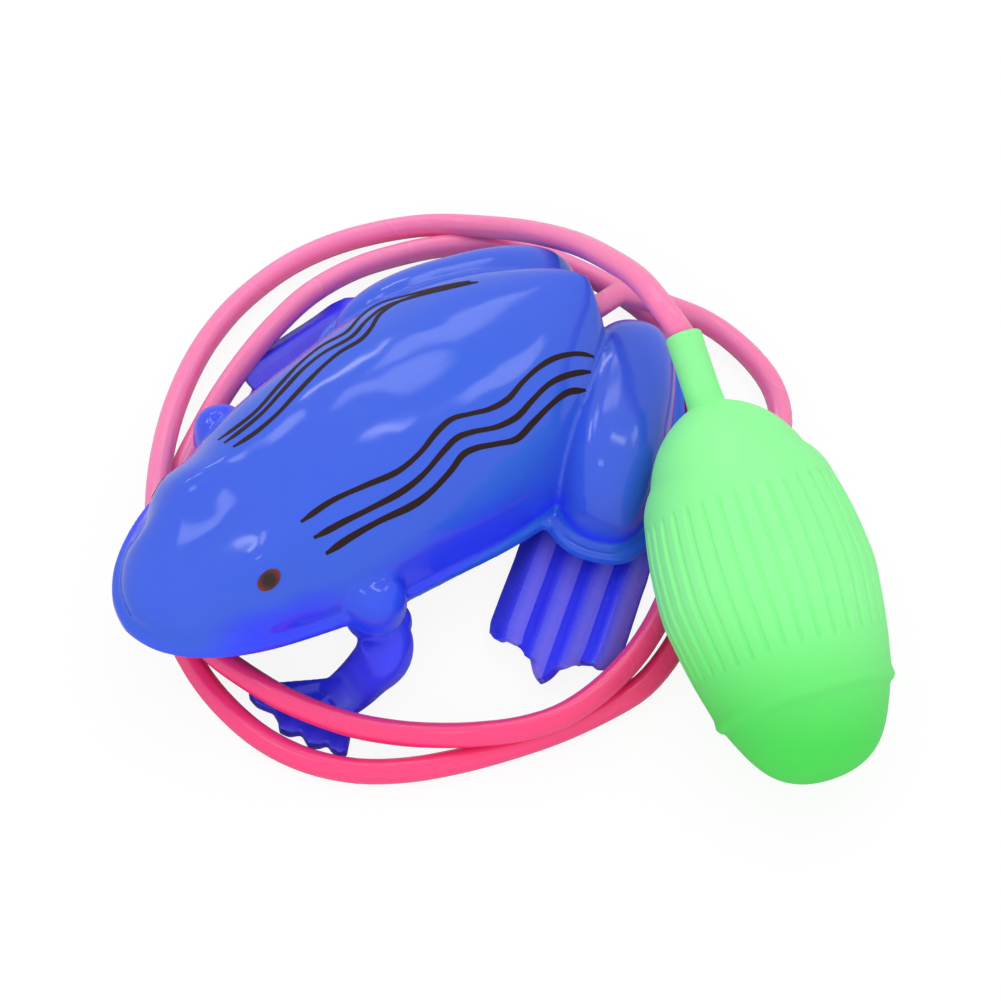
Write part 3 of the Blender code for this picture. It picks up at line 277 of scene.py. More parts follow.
# Squeeze bulb: shares of its radius along its axis, from the neck to the round end
BULB_PLACE = (0.0687, 0.0365)
BULB_TILT = math.radians(18.0)
BULB_HEADING = math.radians(157.0)
BULB_RADIUS = 0.0193
BULB_NECK_LENGTH = 0.0486
BULB_BODY_LENGTH = 0.0342
BULB_PROFILE_SHARES = (
    (1.0, 0.171), (0.735, 0.176), (0.712, 0.225), (0.69, 0.325), (0.655, 0.445), (0.615, 0.545),
    (0.57, 0.628), (0.525, 0.688), (0.488, 0.728), (0.472, 0.745), (0.462, 0.772), (0.43, 0.824),
    (0.385, 0.874), (0.33, 0.905), (0.265, 0.938), (0.19, 0.968), (0.11, 0.988), (0.0, 1.0), (-0.13, 0.974),
    (-0.25, 0.942), (-0.36, 0.906), (-0.455, 0.868), (-0.53, 0.838), (-0.556, 0.831), (-0.574, 0.841),
    (-0.598, 0.833), (-0.612, 0.806), (-0.622, 0.776), (-0.66, 0.748), (-0.72, 0.7), (-0.78, 0.648),
    (-0.84, 0.583), (-0.89, 0.512), (-0.935, 0.418), (-0.97, 0.298), (-0.991, 0.165), (-1.0, 0.0),
)
BULB_STEP = 0.0008
BULB_MOUTH_DEPTH = 0.0083
MOUTH_GAP = 0.0002
MOUTH_ROUND = 0.0003

# Flutes: from where to where on the axis, and their flat and slope as shares of half a pitch
FLUTE_SPAN = (-0.0116, 0.0156)
FLUTE_FLAT = 0.10
FLUTE_SLOPE = 0.30
FLUTE_COLUMNS = 14

# Painted shade on the bulb and the hose: their deeper colours fade along a fixed axis, measured from the
# toy's origin
BULB_SHADE_AXIS = (-0.6469, 0.5624, 0.5150)
BULB_SHADE_SPAN = (-0.0408, -0.0088)
HOSE_SHADE_AXIS = (-0.7547, 0.6561, 0.0)
HOSE_SHADE_SPAN = (-0.0339, -0.0069)

# Where a spot of colour starts to fade and is gone, in its reaches, and how far roughness varies
SPOT_EDGE = (0.35, 1.15)
GLOSS_SPREAD = (0.85, 1.25)

# Steps between two picked points of a line, on the smooth curve through them
LINE_PARTS = 12

# Hose: the same route as its solid, in the toy's own coordinates
HOSE_RADIUS = 0.00225
HOSE_INSERT = 0.0080
HOSE_RUN_IN = 0.0070
HOSE_END_Y = 0.0565
HOSE_ROUTE = (
    (0.0202, 0.0552, 0.038), (0.011, 0.058, 0.0345), (0.0016, 0.0602, 0.0285), (-0.01, 0.062, 0.0205),
    (-0.0222, 0.0613, 0.0125), (-0.033, 0.0577, 0.0065), (-0.0417, 0.052, 0.0032),
    (-0.0475, 0.0436, 0.0024), (-0.0513, 0.034, 0.0024), (-0.053, 0.024, 0.0024), (-0.0524, 0.0132, 0.0024),
    (-0.0502, 0.0045, 0.0024), (-0.0468, -0.0032, 0.0025), (-0.0416, -0.0112, 0.0032),
    (-0.0352, -0.0186, 0.0049), (-0.0278, -0.0256, 0.0066), (-0.02, -0.0318, 0.0072),
    (-0.012, -0.0368, 0.0072), (-0.003, -0.0396, 0.007), (0.007, -0.0402, 0.007), (0.0182, -0.0378, 0.0066),
    (0.0256, -0.035, 0.006), (0.034, -0.0304, 0.0056), (0.0408, -0.025, 0.0054), (0.0462, -0.0198, 0.0058),
    (0.0508, -0.0148, 0.0067), (0.055, -0.0086, 0.007), (0.0578, -0.0014, 0.007), (0.0584, 0.007, 0.0068),
    (0.0571, 0.016, 0.0062), (0.0545, 0.024, 0.0058), (0.0505, 0.032, 0.0048), (0.0452, 0.0402, 0.0032),
    (0.0388, 0.0486, 0.0024), (0.0312, 0.0566, 0.0024), (0.0232, 0.0632, 0.0024), (0.014, 0.068, 0.0024),
    (0.0042, 0.0704, 0.0024), (-0.005, 0.0698, 0.0024), (-0.0135, 0.0675, 0.0024), (-0.0222, 0.064, 0.0024),
    (-0.03, 0.059, 0.0024), (-0.0362, 0.0515, 0.0024), (-0.0405, 0.043, 0.0026), (-0.0428, 0.033, 0.0042),
    (-0.0428, 0.0225, 0.0058), (-0.0412, 0.013, 0.0062), (-0.0388, 0.004, 0.006),
    (-0.0363, -0.0044, 0.0044), (-0.0332, -0.0122, 0.0027), (-0.029, -0.02, 0.0024),
    (-0.0236, -0.0272, 0.0024), (-0.017, -0.0335, 0.0024), (-0.009, -0.0388, 0.0024),
    (0.0, -0.0421, 0.0024), (0.011, -0.044, 0.0024), (0.0225, -0.0434, 0.0024), (0.0318, -0.0404, 0.0024),
    (0.0396, -0.0352, 0.0024), (0.0456, -0.0284, 0.0024), (0.0504, -0.0204, 0.0024),
    (0.0545, -0.0115, 0.0024), (0.058, -0.002, 0.0024), (0.0604, 0.008, 0.0024), (0.0611, 0.015, 0.0024),
    (0.0598, 0.022, 0.0024), (0.0568, 0.0305, 0.0024), (0.0536, 0.039, 0.0024), (0.0502, 0.048, 0.0024),
    (0.0462, 0.0575, 0.0024), (0.0418, 0.0662, 0.0024), (0.0362, 0.0733, 0.0024), (0.03, 0.077, 0.0024),
    (0.023, 0.0785, 0.0024), (0.0155, 0.0783, 0.0027), (0.0102, 0.0764, 0.004), (0.0068, 0.0732, 0.0064),
    (0.0034, 0.0694, 0.0092),
)


def linear(hex_colour):
    """An sRGB hex colour such as #4060E0 as linear red, green, blue and alpha."""
    channels = [int(hex_colour[place : place + 2], 16) / 255 for place in (1, 3, 5)]
    curved = [c / 12.92 if c <= 0.04045 else ((c + 0.055) / 1.055) ** 2.4 for c in channels]
    return (*curved, 1.0)


def colour_setting(name, description, hex_colour):
    return StringProperty(name=name, description=description, default=hex_colour)


def length_setting(name, description, value):
    return FloatProperty(
        name=name, description=description, default=value, subtype="DISTANCE", unit="LENGTH", precision=5
    )


def power_setting(name, description, value):
    return FloatProperty(name=name, description=description, default=value, unit="POWER")


def deselect():
    if bpy.context.mode != "OBJECT":
        bpy.ops.object.mode_set(mode="OBJECT")
    bpy.ops.object.select_all(action="DESELECT")


def select_only(*pieces):
    deselect()
    for piece in pieces:
        piece.select_set(True)
    bpy.context.view_layer.objects.active = pieces[0]


def modify(piece, kind, **settings):
    modifier = piece.modifiers.new(kind.title(), kind)
    for name, value in settings.items():
        setattr(modifier, name, value)


def apply_modifiers(piece):
    select_only(piece)
    for modifier in list(piece.modifiers):
        bpy.ops.object.modifier_apply(modifier=modifier.name)


def mend(piece, weld=None, fill=False, thicken=None, outwards=True):
    """In edit mode: weld doubles, fill open ends, give a sheet its thickness, face outwards."""
    select_only(piece)
    bpy.ops.object.mode_set(mode="EDIT")
    bpy.ops.mesh.select_all(action="SELECT")
    if weld:
        bpy.ops.mesh.remove_doubles(threshold=weld)
    if fill:
        bpy.ops.mesh.select_all(action="DESELECT")
        bpy.ops.mesh.select_mode(type="EDGE")
        bpy.ops.mesh.select_non_manifold()
        bpy.ops.mesh.edge_face_add()
        bpy.ops.mesh.select_all(action="SELECT")
    if thicken:
        bpy.ops.mesh.extrude_region_move(TRANSFORM_OT_translate={"value": (0, 0, -thicken)})
        bpy.ops.mesh.select_all(action="SELECT")
    if outwards:
        bpy.ops.mesh.normals_make_consistent(inside=False)
    bpy.ops.object.mode_set(mode="OBJECT")
    return piece


def smooth_by_angle(piece, degrees=38.0):
    select_only(piece)
    bpy.ops.object.shade_smooth_by_angle(angle=math.radians(degrees))


def settle(piece, matrix):
    """Put a piece's place in its mesh, so that its object stays at the origin."""
    piece.data.transform(matrix)
    piece.data.update()
    return piece


def dress(mesh, material):
    mesh.materials.clear()
    mesh.materials.append(material)


def finish_piece(piece, name, body, material):
    piece.name = name
    piece.data.name = name
    dress(piece.data, material)
    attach(piece, body)


def rounded(value, roundness):
    """One axis of a superellipse, from a sine or a cosine."""
    return math.copysign(abs(value) ** (2 / roundness), value)


def curve_between(before, start, end, after, t):
    """A smooth curve's value a share t of the way from start to end."""
    return 0.5 * (
        2 * start
        + (end - before) * t
        + (2 * before - 5 * start + 4 * end - after) * t**2
        + (3 * start - before - 3 * end + after) * t**3
    )


def share_at(shares, place):
    """Read an even table of shares at a place from 0 to 1, on a smooth curve through its rows."""
    steps = len(shares) - 1
    position = min(max(place, 0.0), 1.0) * steps
    low = min(int(position), steps - 1)
    before, after = shares[max(low - 1, 0)], shares[min(low + 2, steps)]
    return curve_between(before, shares[low], shares[low + 1], after, position - low)


def share_between(rows, key):
    """Read a table of (key, share) rows with straight runs between them."""
    for (low, start), (high, end) in zip(rows, rows[1:]):
        if low < high and key <= high:
            return start + (end - start) * (key - low) / (high - low)
    return rows[-1][1]


def smooth_line(points, step):
    """Points an even step apart on a smooth curve through the given ones, and its length."""
    dense = []
    last = len(points) - 1
    for index in range(last):
        run = [points[min(max(index + shift, 0), last)] for shift in (-1, 0, 1, 2)]
        dense += [curve_between(*run, part / LINE_PARTS) for part in range(LINE_PARTS)]
    dense.append(points[-1])
    total = sum((b - a).length for a, b in zip(dense, dense[1:]))
    count = max(round(total / step), 2)
    even = [dense[0]]
    walked = 0.0
    for a, b in zip(dense, dense[1:]):
        length = (b - a).length
        while len(even) < count and walked + length >= total * len(even) / count:
            even.append(a.lerp(b, (total * len(even) / count - walked) / length))
        walked += length
    even.append(dense[-1])
    return even, total


def ease(value):
    value = min(max(value, 0.0), 1.0)
    return value * value * (3 - 2 * value)


def shaped_ball(shape, segments, rings):
    """A ball whose points are moved to shape(share from pole to pole, angle round the poles)."""
    deselect()
    bpy.ops.mesh.primitive_uv_sphere_add(segments=segments, ring_count=rings, radius=1.0)
    ball = bpy.context.active_object
    for vertex in ball.data.vertices:
        x, y, z = vertex.co
        vertex.co = shape(math.acos(min(max(z, -1.0), 1.0)) / math.pi, math.atan2(y, x))
    return mend(ball)


def shaped_grid(shape, columns, rows):
    """A grid whose points are moved to shape(x, y), where both go from -0.5 to 0.5."""
    deselect()
    bpy.ops.mesh.primitive_grid_add(x_subdivisions=columns, y_subdivisions=rows, size=1.0)
    grid = bpy.context.active_object
    for vertex in grid.data.vertices:
        vertex.co = shape(vertex.co.x, vertex.co.y)
    return grid


def cast(parts, voxel, passes):
    """Join parts into one skin, as plastic fills a mould, and soften its inner corners."""
    select_only(*parts)
    bpy.ops.object.join()
    whole = bpy.context.active_object
    modify(whole, "REMESH", mode="VOXEL", voxel_size=voxel)
    modify(whole, "SMOOTH", factor=0.5, iterations=passes)
    apply_modifiers(whole)
    return whole


def carve(piece, cutters, operation="DIFFERENCE"):
    for cutter in cutters:
        modify(piece, "BOOLEAN", operation=operation, object=cutter, solver="EXACT")
    apply_modifiers(piece)
    for cutter in cutters:
        bpy.data.objects.remove(cutter, do_unlink=True)


def add_rod(radius, bottom, top, matrix):
    deselect()
    bpy.ops.mesh.primitive_cylinder_add(vertices=48, radius=radius, depth=top - bottom)
    return settle(bpy.context.active_object, matrix @ Matrix.Translation((0, 0, (bottom + top) / 2)))


def add_box(size, matrix):
    deselect()
    bpy.ops.mesh.primitive_cube_add(size=1.0)
    return settle(bpy.context.active_object, matrix @ Matrix.Diagonal((*size, 1.0)))


def add_node(tree, kind, inputs=None, links=None, **settings):
    """Add a node with its settings, input values and links, each link as (node, its output, input)."""
    node = tree.nodes.new("ShaderNode" + kind)
    for name, value in settings.items():
        setattr(node, name, value)
    for name, value in (inputs or {}).items():
        node.inputs[name].default_value = value
    for source, output, target in links or ():
        tree.links.new(source.outputs[output], node.inputs[target])
    return node


def new_material(name):
    """A material with its tree, its shader and object coordinates ready."""
    material = bpy.data.materials.new(name)
    material.use_nodes = True
    tree = material.node_tree
    return material, tree, tree.nodes["Principled BSDF"], add_node(tree, "TexCoord")


def fade(colour, axis, origin, full, gone):
    """A colour layer that fades along an axis between two distances from an origin."""
    start = Vector(axis).dot(origin)
    return "fade", colour, axis, start + full, start + gone


def layer_share(tree, place, kind, *values):
    """How much of a colour layer shows: (node, output) of its share from 0 to 1."""
    if kind == "attribute":
        return add_node(tree, "Attribute", attribute_name=values[0]), "Fac"
    links = [(place, "Object", 0)]
    if kind == "fade":
        axis, start, end = values
        source = add_node(tree, "VectorMath", {1: axis}, links, operation="DOT_PRODUCT")
    else:
        centre, reach = values
        start, end = SPOT_EDGE
        source = add_node(tree, "VectorMath", {1: centre}, links, operation="SUBTRACT")
        source = add_node(tree, "VectorMath", {1: reach}, [(source, 0, 0)], operation="DIVIDE")
        source = add_node(tree, "VectorMath", None, [(source, 0, 0)], operation="LENGTH")
    ends = {"From Min": start, "From Max": end, "To Min": 1.0, "To Max": 0.0}
    links = [(source, "Value", "Value")]
    return add_node(tree, "MapRange", ends, links, interpolation_type="SMOOTHSTEP"), "Result"


def lit_through(weight, depth, reaches):
    """Sockets of a plastic that light goes into: how much, how deep, and how far for each colour."""
    return {"Subsurface Weight": weight, "Subsurface Scale": depth, "Subsurface Radius": reaches}


def coated(weight, roughness):
    """Sockets of a plastic with a thin gloss over it, as a polished mould leaves."""
    return {"Coat Weight": weight, "Coat Roughness": roughness}


# Polyethylene, injection moulded: a waxier blue than the skin, with painted light on the webs: a lighter
# colour on one face of each pleat
LEG_FINISH = (0.012, 0.26, 0.007, 0.00010, {"IOR": 1.51, **lit_through(0.18, 0.0014, (0.3, 0.3, 1.0))})

# Finishes: width of the colour patches, roughness, and width and height of the waves in the
# gloss, with widths and heights in metres, and then the shader's own sockets
FINISHES = {
    # Plasticised PVC, extruded and tinted: glossy, with painted shade, a deeper pink over the half of the
    # coil on the camera's side
    "pink_pvc_extruded": (
        0.030, 0.26, 0.006, 0.00004,
        {"IOR": 1.53, **coated(0.4, 0.12), **lit_through(0.35, 0.0020, (1.0, 0.25, 0.35))},
    ),
    # High-impact polystyrene, injection moulded: hard gloss with slow waves over thin walls
    "blue_polystyrene_moulded": (
        0.035, 0.11, 0.012, 0.00036,
        {
            "IOR": 1.59, "Specular IOR Level": 0.32, **coated(0.10, 0.04),
            **lit_through(0.12, 0.0016, (0.3, 0.35, 1.0)),
        },
    ),
    # Solvent ink, brushed on by hand: thin, slightly streaked and less glossy than the skin
    "brown_ink_brushed": (0.0016, 0.55, 0.0009, 0.00004, {"Specular IOR Level": 0.25}),
    # Enamel, dabbed on by hand: glossy red-brown with a nearly black middle
    "red_brown_enamel_dabbed": (0.0009, 0.25, 0.0012, 0.00003, {}),
    "blue_polyethylene_moulded": LEG_FINISH,
    "blue_polyethylene_webbed": LEG_FINISH,
    # Plasticised PVC, rotation moulded: satin green, with painted shade, a deeper green towards its lower,
    # round end
    "green_pvc_moulded": (
        0.022, 0.48, 0.0009, 0.00002, {"IOR": 1.53, **lit_through(0.30, 0.0030, (0.5, 1.0, 0.4))}
    ),
    # High-impact polystyrene with a fine spark-eroded texture on the side that isn't seen: dull
    "blue_belly_spark_textured": (0.020, 0.45, 0.0005, 0.00003, {"IOR": 1.59}),
    # Natural nylon, moulded: milky, a little waxy
    "natural_nylon_moulded": (
        0.004, 0.42, 0.0012, 0.00002, {"Subsurface Weight": 0.3, "Subsurface Scale": 0.001}
    ),
    # Black nitrile rubber, pressed: dull with a dusty bloom
    "black_rubber_pressed": (0.002, 0.65, 0.0006, 0.00003, {}),
    # Mild steel wire, drawn and zinc plated: bright with fine draw lines
    "zinc_plated_steel_drawn": (0.0015, 0.30, 0.0004, 0.00001, {"Metallic": 1.0}),
    # Soft vinyl film, welded: cloudy and creased
    "cloudy_vinyl_film_welded": (0.005, 0.35, 0.0018, 0.00012, {"Transmission Weight": 0.35}),
}


def moulded(name, light, dark, layers=()):
    """A finish of two close colours in soft patches, with a faint waviness in its gloss.

    Each layer lays one more colour over part of it: ("fade", colour, axis, full, gone) along an
    axis, ("spot", colour, centre, reach) round a place, or ("attribute", colour, name).
    """
    patch, roughness, wave, wave_height, sockets = FINISHES[name]
    material, tree, shader, place = new_material(name)
    here = [(place, "Object", "Vector")]
    patches = add_node(tree, "TexNoise", {"Scale": 1 / patch, "Detail": 2.0, "Roughness": 0.5}, here)
    ends = {"A": linear(light), "B": linear(dark)}
    colour = add_node(tree, "Mix", ends, [(patches, "Fac", "Factor")], data_type="RGBA")
    for kind, layer_colour, *values in layers:
        share, output = layer_share(tree, place, kind, *values)
        links = [(share, output, "Factor"), (colour, "Result", "A")]
        colour = add_node(tree, "Mix", {"B": linear(layer_colour)}, links, data_type="RGBA")
    waves = add_node(tree, "TexNoise", {"Scale": 1 / wave, "Detail": 1.0}, here)
    bump = add_node(tree, "Bump", {"Strength": 1.0, "Distance": wave_height}, [(waves, "Fac", "Height")])
    ends = {"To Min": roughness * GLOSS_SPREAD[0], "To Max": roughness * GLOSS_SPREAD[1]}
    haze = add_node(tree, "MapRange", ends, [(patches, "Fac", "Value")])
    tree.links.new(colour.outputs["Result"], shader.inputs["Base Color"])
    tree.links.new(bump.outputs["Normal"], shader.inputs["Normal"])
    tree.links.new(haze.outputs["Result"], shader.inputs["Roughness"])
    for socket, value in sockets.items():
        shader.inputs[socket].default_value = value
    return material


class FrogStageSettings(bpy.types.PropertyGroup):
    """Floor and lamps."""

    floor_colour: colour_setting("Floor", "Colour of the floor and backdrop", "#FFFFFF")
    key_power: power_setting("Key panel", "Power of the broad panel behind the frog", 0.8)
    fill_power: power_setting("Fill panel", "Power of the panel by the camera", 3.0)
    glint_power: power_setting("Glint lamps", "Power of each small lamp", 0.26)
    sky: FloatProperty(name="Sky", description="Strength of the light from all round", default=0.84)


class FrogHoseSettings(bpy.types.PropertyGroup):
    """Air hose."""

    radius: length_setting("Radius", "Outer radius of the hose", HOSE_RADIUS)
    colour: colour_setting("Colour", "Colour of the hose", "#FF82BC")
    # Painted shade: the deeper pink laid over the half of the coil on the camera's side
    deep: colour_setting("Deep colour", "Colour of the hose's deeper half", "#FF3A80")


class FrogSkinSettings(bpy.types.PropertyGroup):
    """Body skin and its paint."""

    voxel: length_setting("Skin detail", "Size of the steps that the skin is cast with", 0.0005)
    colour: colour_setting("Colour", "Colour of the skin", "#2A60E2")
    shade: colour_setting("Second colour", "Colour of the skin's soft patches", "#3C5ADE")
    # Painted shade: the violet low on the flanks, between the legs and before the eyes
    edge: colour_setting("Edge colour", "Colour of the skin where light comes through", "#2C40FF")
    ink: colour_setting("Ink", "Colour of the stripes", "#1A0B0F")
    eye: colour_setting("Eye paint", "Colour of the eyes", "#861E10")


class FrogLegSettings(bpy.types.PropertyGroup):
    """Front and hind legs."""

    voxel: length_setting("Leg detail", "Size of the steps that a front leg is cast with", 0.00034)
    rib: length_setting("Toe rib", "Height of the ribs on a hand's toes", 0.0006)
    colour: colour_setting("Colour", "Colour of the legs", "#2C34F8")
    # Painted light: the lighter colour on one face of each pleat of the webs
    shade: colour_setting("Pleat colour", "Colour of the webs' lighter pleats", "#8478FF")


class FrogBulbSettings(bpy.types.PropertyGroup):
    """Squeeze bulb."""

    flutes: IntProperty(name="Flutes", description="Grooves round the bulb", default=36)
    flute_depth: length_setting("Flute depth", "Depth of the grooves", 0.00045)
    colour: colour_setting("Colour", "Colour of the bulb", "#92FF9E")
    shade: colour_setting("Second colour", "Colour of the bulb's soft patches", "#8AFC94")
    # Painted shade: the deeper green laid towards the bulb's lower, round end
    low: colour_setting("End colour", "Colour of the bulb's round end", "#44DC50")


def add_panel(name, place, target, width, height, power):
    """A rectangular lamp that faces a target."""
    deselect()
    turn = (place - target).to_track_quat("Z", "Y").to_euler()
    bpy.ops.object.light_add(type="AREA", location=place, rotation=turn)
    lamp = bpy.context.active_object
    lamp.name = name
    lamp.data.shape = "RECTANGLE"
    lamp.data.size = width
    lamp.data.size_y = height
    lamp.data.energy = power
    return lamp


class FROG_OT_stage(bpy.types.Operator):
    """Add the camera, the floor, the lamps and the light from all round"""

    bl_idname = "frog.stage"
    bl_label = "Stage"

    def execute(self, context):
        settings = context.scene.frog_stage
        aim = LEVEL @ Vector(CAMERA_AIM)
        aside, ahead = math.sin(CAMERA_AZIMUTH), -math.cos(CAMERA_AZIMUTH)
        level_reach = math.cos(CAMERA_ELEVATION)
        back = Vector((aside * level_reach, ahead * level_reach, math.sin(CAMERA_ELEVATION)))
        deselect()
        turn = (-back).to_track_quat("-Z", "Y").to_euler()
        bpy.ops.object.camera_add(location=aim + back * CAMERA_DISTANCE, rotation=turn)
        camera = context.active_object
        camera.data.sensor_width = SENSOR
        camera.data.lens = CAMERA_FOCAL_PIXELS / IMAGE_SIDE * SENSOR
        camera.data.clip_start = CAMERA_DISTANCE / 50
        context.scene.camera = camera
        self.add_floor(settings)
        for name, offset, width, height in PANELS:
            power = getattr(settings, f"{name}_power")
            panel = add_panel(f"{name}_panel", aim + Vector(offset), aim, width, height, power)
            panel.visible_glossy = False
        self.add_sky(context, settings)
        context.scene.view_settings.view_transform = "Standard"
        return {"FINISHED"}

    def add_floor(self, settings):
        """Matt paper that glows only to the camera, so it lights the toy no more than paper would."""
        deselect()
        bpy.ops.mesh.primitive_plane_add(size=FLOOR_SIZE, location=(0, 0, -FLOOR_DROP))
        floor = bpy.context.active_object
        floor.name = "floor"
        material, tree, shader, _ = new_material("pale_studio_paper")
        shader.inputs["Roughness"].default_value = 0.9
        shader.inputs["Specular IOR Level"].default_value = 0.0
        rays = add_node(tree, "LightPath")
        ends = {"A": linear(FLOOR_BOUNCE), "B": linear(settings.floor_colour)}
        seen = add_node(tree, "Mix", ends, [(rays, "Is Camera Ray", "Factor")], data_type="RGBA")
        tree.links.new(seen.outputs["Result"], shader.inputs["Base Color"])
        glow = add_node(tree, "Emission", {"Strength": 1.0})
        share = add_node(tree, "Math", {1: FLOOR_GLOW}, [(rays, "Is Camera Ray", 0)], operation="MULTIPLY")
        mixed = add_node(tree, "MixShader", None, [(share, 0, 0), (shader, 0, 1), (glow, 0, 2)])
        tree.links.new(mixed.outputs[0], tree.nodes["Material Output"].inputs["Surface"])
        floor.data.materials.append(material)

    def add_sky(self, context, settings):
        """Even light from all round, which the camera and clear plastic see as plain white."""
        world = bpy.data.worlds.new("studio")
        context.scene.world = world
        world.use_nodes = True
        tree = world.node_tree
        sky = tree.nodes["Background"]
        sky.inputs["Color"].default_value = linear("#FFFFFF")
        rays = add_node(tree, "LightPath")
        links = [(rays, "Is Camera Ray", 0), (rays, "Is Transmission Ray", 1)]
        seen = add_node(tree, "Math", None, links, operation="MAXIMUM")
        strength = add_node(tree, "MapRange", {"To Min": settings.sky, "To Max": 1.0}, [(seen, 0, "Value")])
        tree.links.new(strength.outputs["Result"], sky.inputs["Strength"])


def bulb_point(share):
    """Distance along the bulb's axis from its middle, towards the neck when positive."""
    return share * (BULB_NECK_LENGTH if share > 0 else BULB_BODY_LENGTH)


def bulb_matrix():
    """Where the bulb lies: on its ridge, with the neck raised."""
    drops = [
        radius * BULB_RADIUS * math.cos(BULB_TILT) - bulb_point(share) * math.sin(BULB_TILT)
        for share, radius in BULB_PROFILE_SHARES
    ]
    turn = Euler((0, math.pi / 2 - BULB_TILT, BULB_HEADING)).to_matrix().to_4x4()
    return LEVEL @ Matrix.Translation((*BULB_PLACE, max(drops))) @ turn


class FROG_OT_hose(bpy.types.Operator):
    """Lay the air hose from the bulb's neck, twice round the frog and into its rump"""

    bl_idname = "frog.hose"
    bl_label = "Air hose"

    def execute(self, context):
        settings = context.scene.frog_hose
        bulb = bulb_matrix()
        neck = bulb @ Vector((0, 0, BULB_NECK_LENGTH))
        inside = bulb @ Vector((0, 0, BULB_NECK_LENGTH - HOSE_INSERT))
        inlet = FROG @ Vector((0, HOSE_END_Y, INLET_Z))
        run_in = FROG @ Vector((0, HOSE_END_Y + HOSE_RUN_IN, INLET_Z))
        route = [neck] + [LEVEL @ Vector(point) for point in HOSE_ROUTE] + [run_in]
        line, length = smooth_line(route, settings.radius)
        points = [inside] + line + [inlet]
        curve = bpy.data.curves.new("air_hose_skin", "CURVE")
        curve.dimensions = "3D"
        curve.bevel_depth = settings.radius
        curve.bevel_resolution = 6
        curve.use_fill_caps = True
        spline = curve.splines.new("POLY")
        spline.points.add(len(points) - 1)
        for target, point in zip(spline.points, points):
            target.co = (*point, 1.0)
        spline.use_smooth = True
        hose = bpy.data.objects.new("air_hose_skin", curve)
        context.scene.collection.objects.link(hose)
        # Painted shade: a deeper pink over the half of the coil on the camera's side
        deep = fade(settings.deep, HOSE_SHADE_AXIS, TOY, *HOSE_SHADE_SPAN)
        vinyl = moulded("pink_pvc_extruded", settings.colour, "#FF7AAE", [deep])
        finish_piece(hose, "air_hose_skin", "frog", vinyl)
        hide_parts("air_hose")
        length += (neck - inside).length + (run_in - inlet).length
        return {"FINISHED"}


def body_shape(inset, lip):
    """The body as a shape for a ball whose poles are the nose and the rump."""

    def shape(place, angle):
        length = BODY_LENGTH - 2 * inset
        half_width = share_at(BODY_WIDTH_SHARES, place) * (BODY_HALF_WIDTH - inset)
        height = share_at(BODY_HEIGHT_SHARES, place) * (BODY_HEIGHT - inset)
        y = NOSE_Y + inset + length * (1 - math.cos(math.pi * place)) / 2
        x = half_width * rounded(math.cos(angle), BODY_ROUNDNESS)
        rise = rounded(math.sin(angle), BODY_ROUNDNESS)
        z = rise * (height if rise > 0 else BELOW_RIM + inset)
        if lip:
            middle = NOSE_Y + BODY_LENGTH / 2
            x *= (BODY_HALF_WIDTH + lip) / BODY_HALF_WIDTH
            y = middle + (y - middle) * (BODY_LENGTH / 2 + lip) / (BODY_LENGTH / 2)
            z = min(z, LIP_HEIGHT)
        return Vector((x, y, z))

    return shape


def lobe_shape(place, turn, size, inset, lip, stretch=1.0):
    """A rounded hump on the rim plane, stretched on its body side, as a shape for a ball."""
    length, width, height = size
    grow = lip - inset
    rotation = Matrix.Rotation(turn, 3, "Z")

    def shape(share, angle):
        rise = math.cos(math.pi * share)
        reach = rounded(math.sin(math.pi * share), LOBE_FULLNESS)
        x = (length / 2 + grow) * reach * rounded(math.cos(angle), LOBE_ROUNDNESS)
        y = (width / 2 + grow) * reach * rounded(math.sin(angle), LOBE_ROUNDNESS)
        if y < 0:
            y *= stretch
        z = rounded(rise, LOBE_FULLNESS) * (height - inset if rise > 0 else BELOW_RIM + inset)
        if lip:
            z = min(z, LIP_HEIGHT)
        return rotation @ Vector((x, y, z)) + Vector((*place, 0))

    return shape


def skin_lobes():
    """Place, turn, size, lip width and stretch of each thigh and shoulder cap. The caps have no lip."""
    lobes = []
    for side, sign in SIDES:
        thigh = (THIGH_PLACES[side], THIGH_TURNS[side], THIGH_SIZES[side])
        lobes.append((*thigh, THIGH_LIP_WIDTH, BODY_SIDE_STRETCH))
        aside, ahead = CAP_SHIFTS[side]
        place = (sign * SHOULDER_X + aside, SHOULDER_Y + ahead)
        lobes.append((place, sign * SHOULDER_TURN, CAP_SIZES[side], 0.0, 1.0))
    return lobes


def inlet_rod(radius, spare):
    """A rod along the hose's way in, longer than the inlet's boss by a spare length at each end."""
    inner, outer = INLET_BOSS_SPAN
    along_y = Matrix.Rotation(-math.pi / 2, 4, "X")
    return add_rod(radius, inner - spare, outer + spare, Matrix.Translation((0, 0, INLET_Z)) @ along_y)


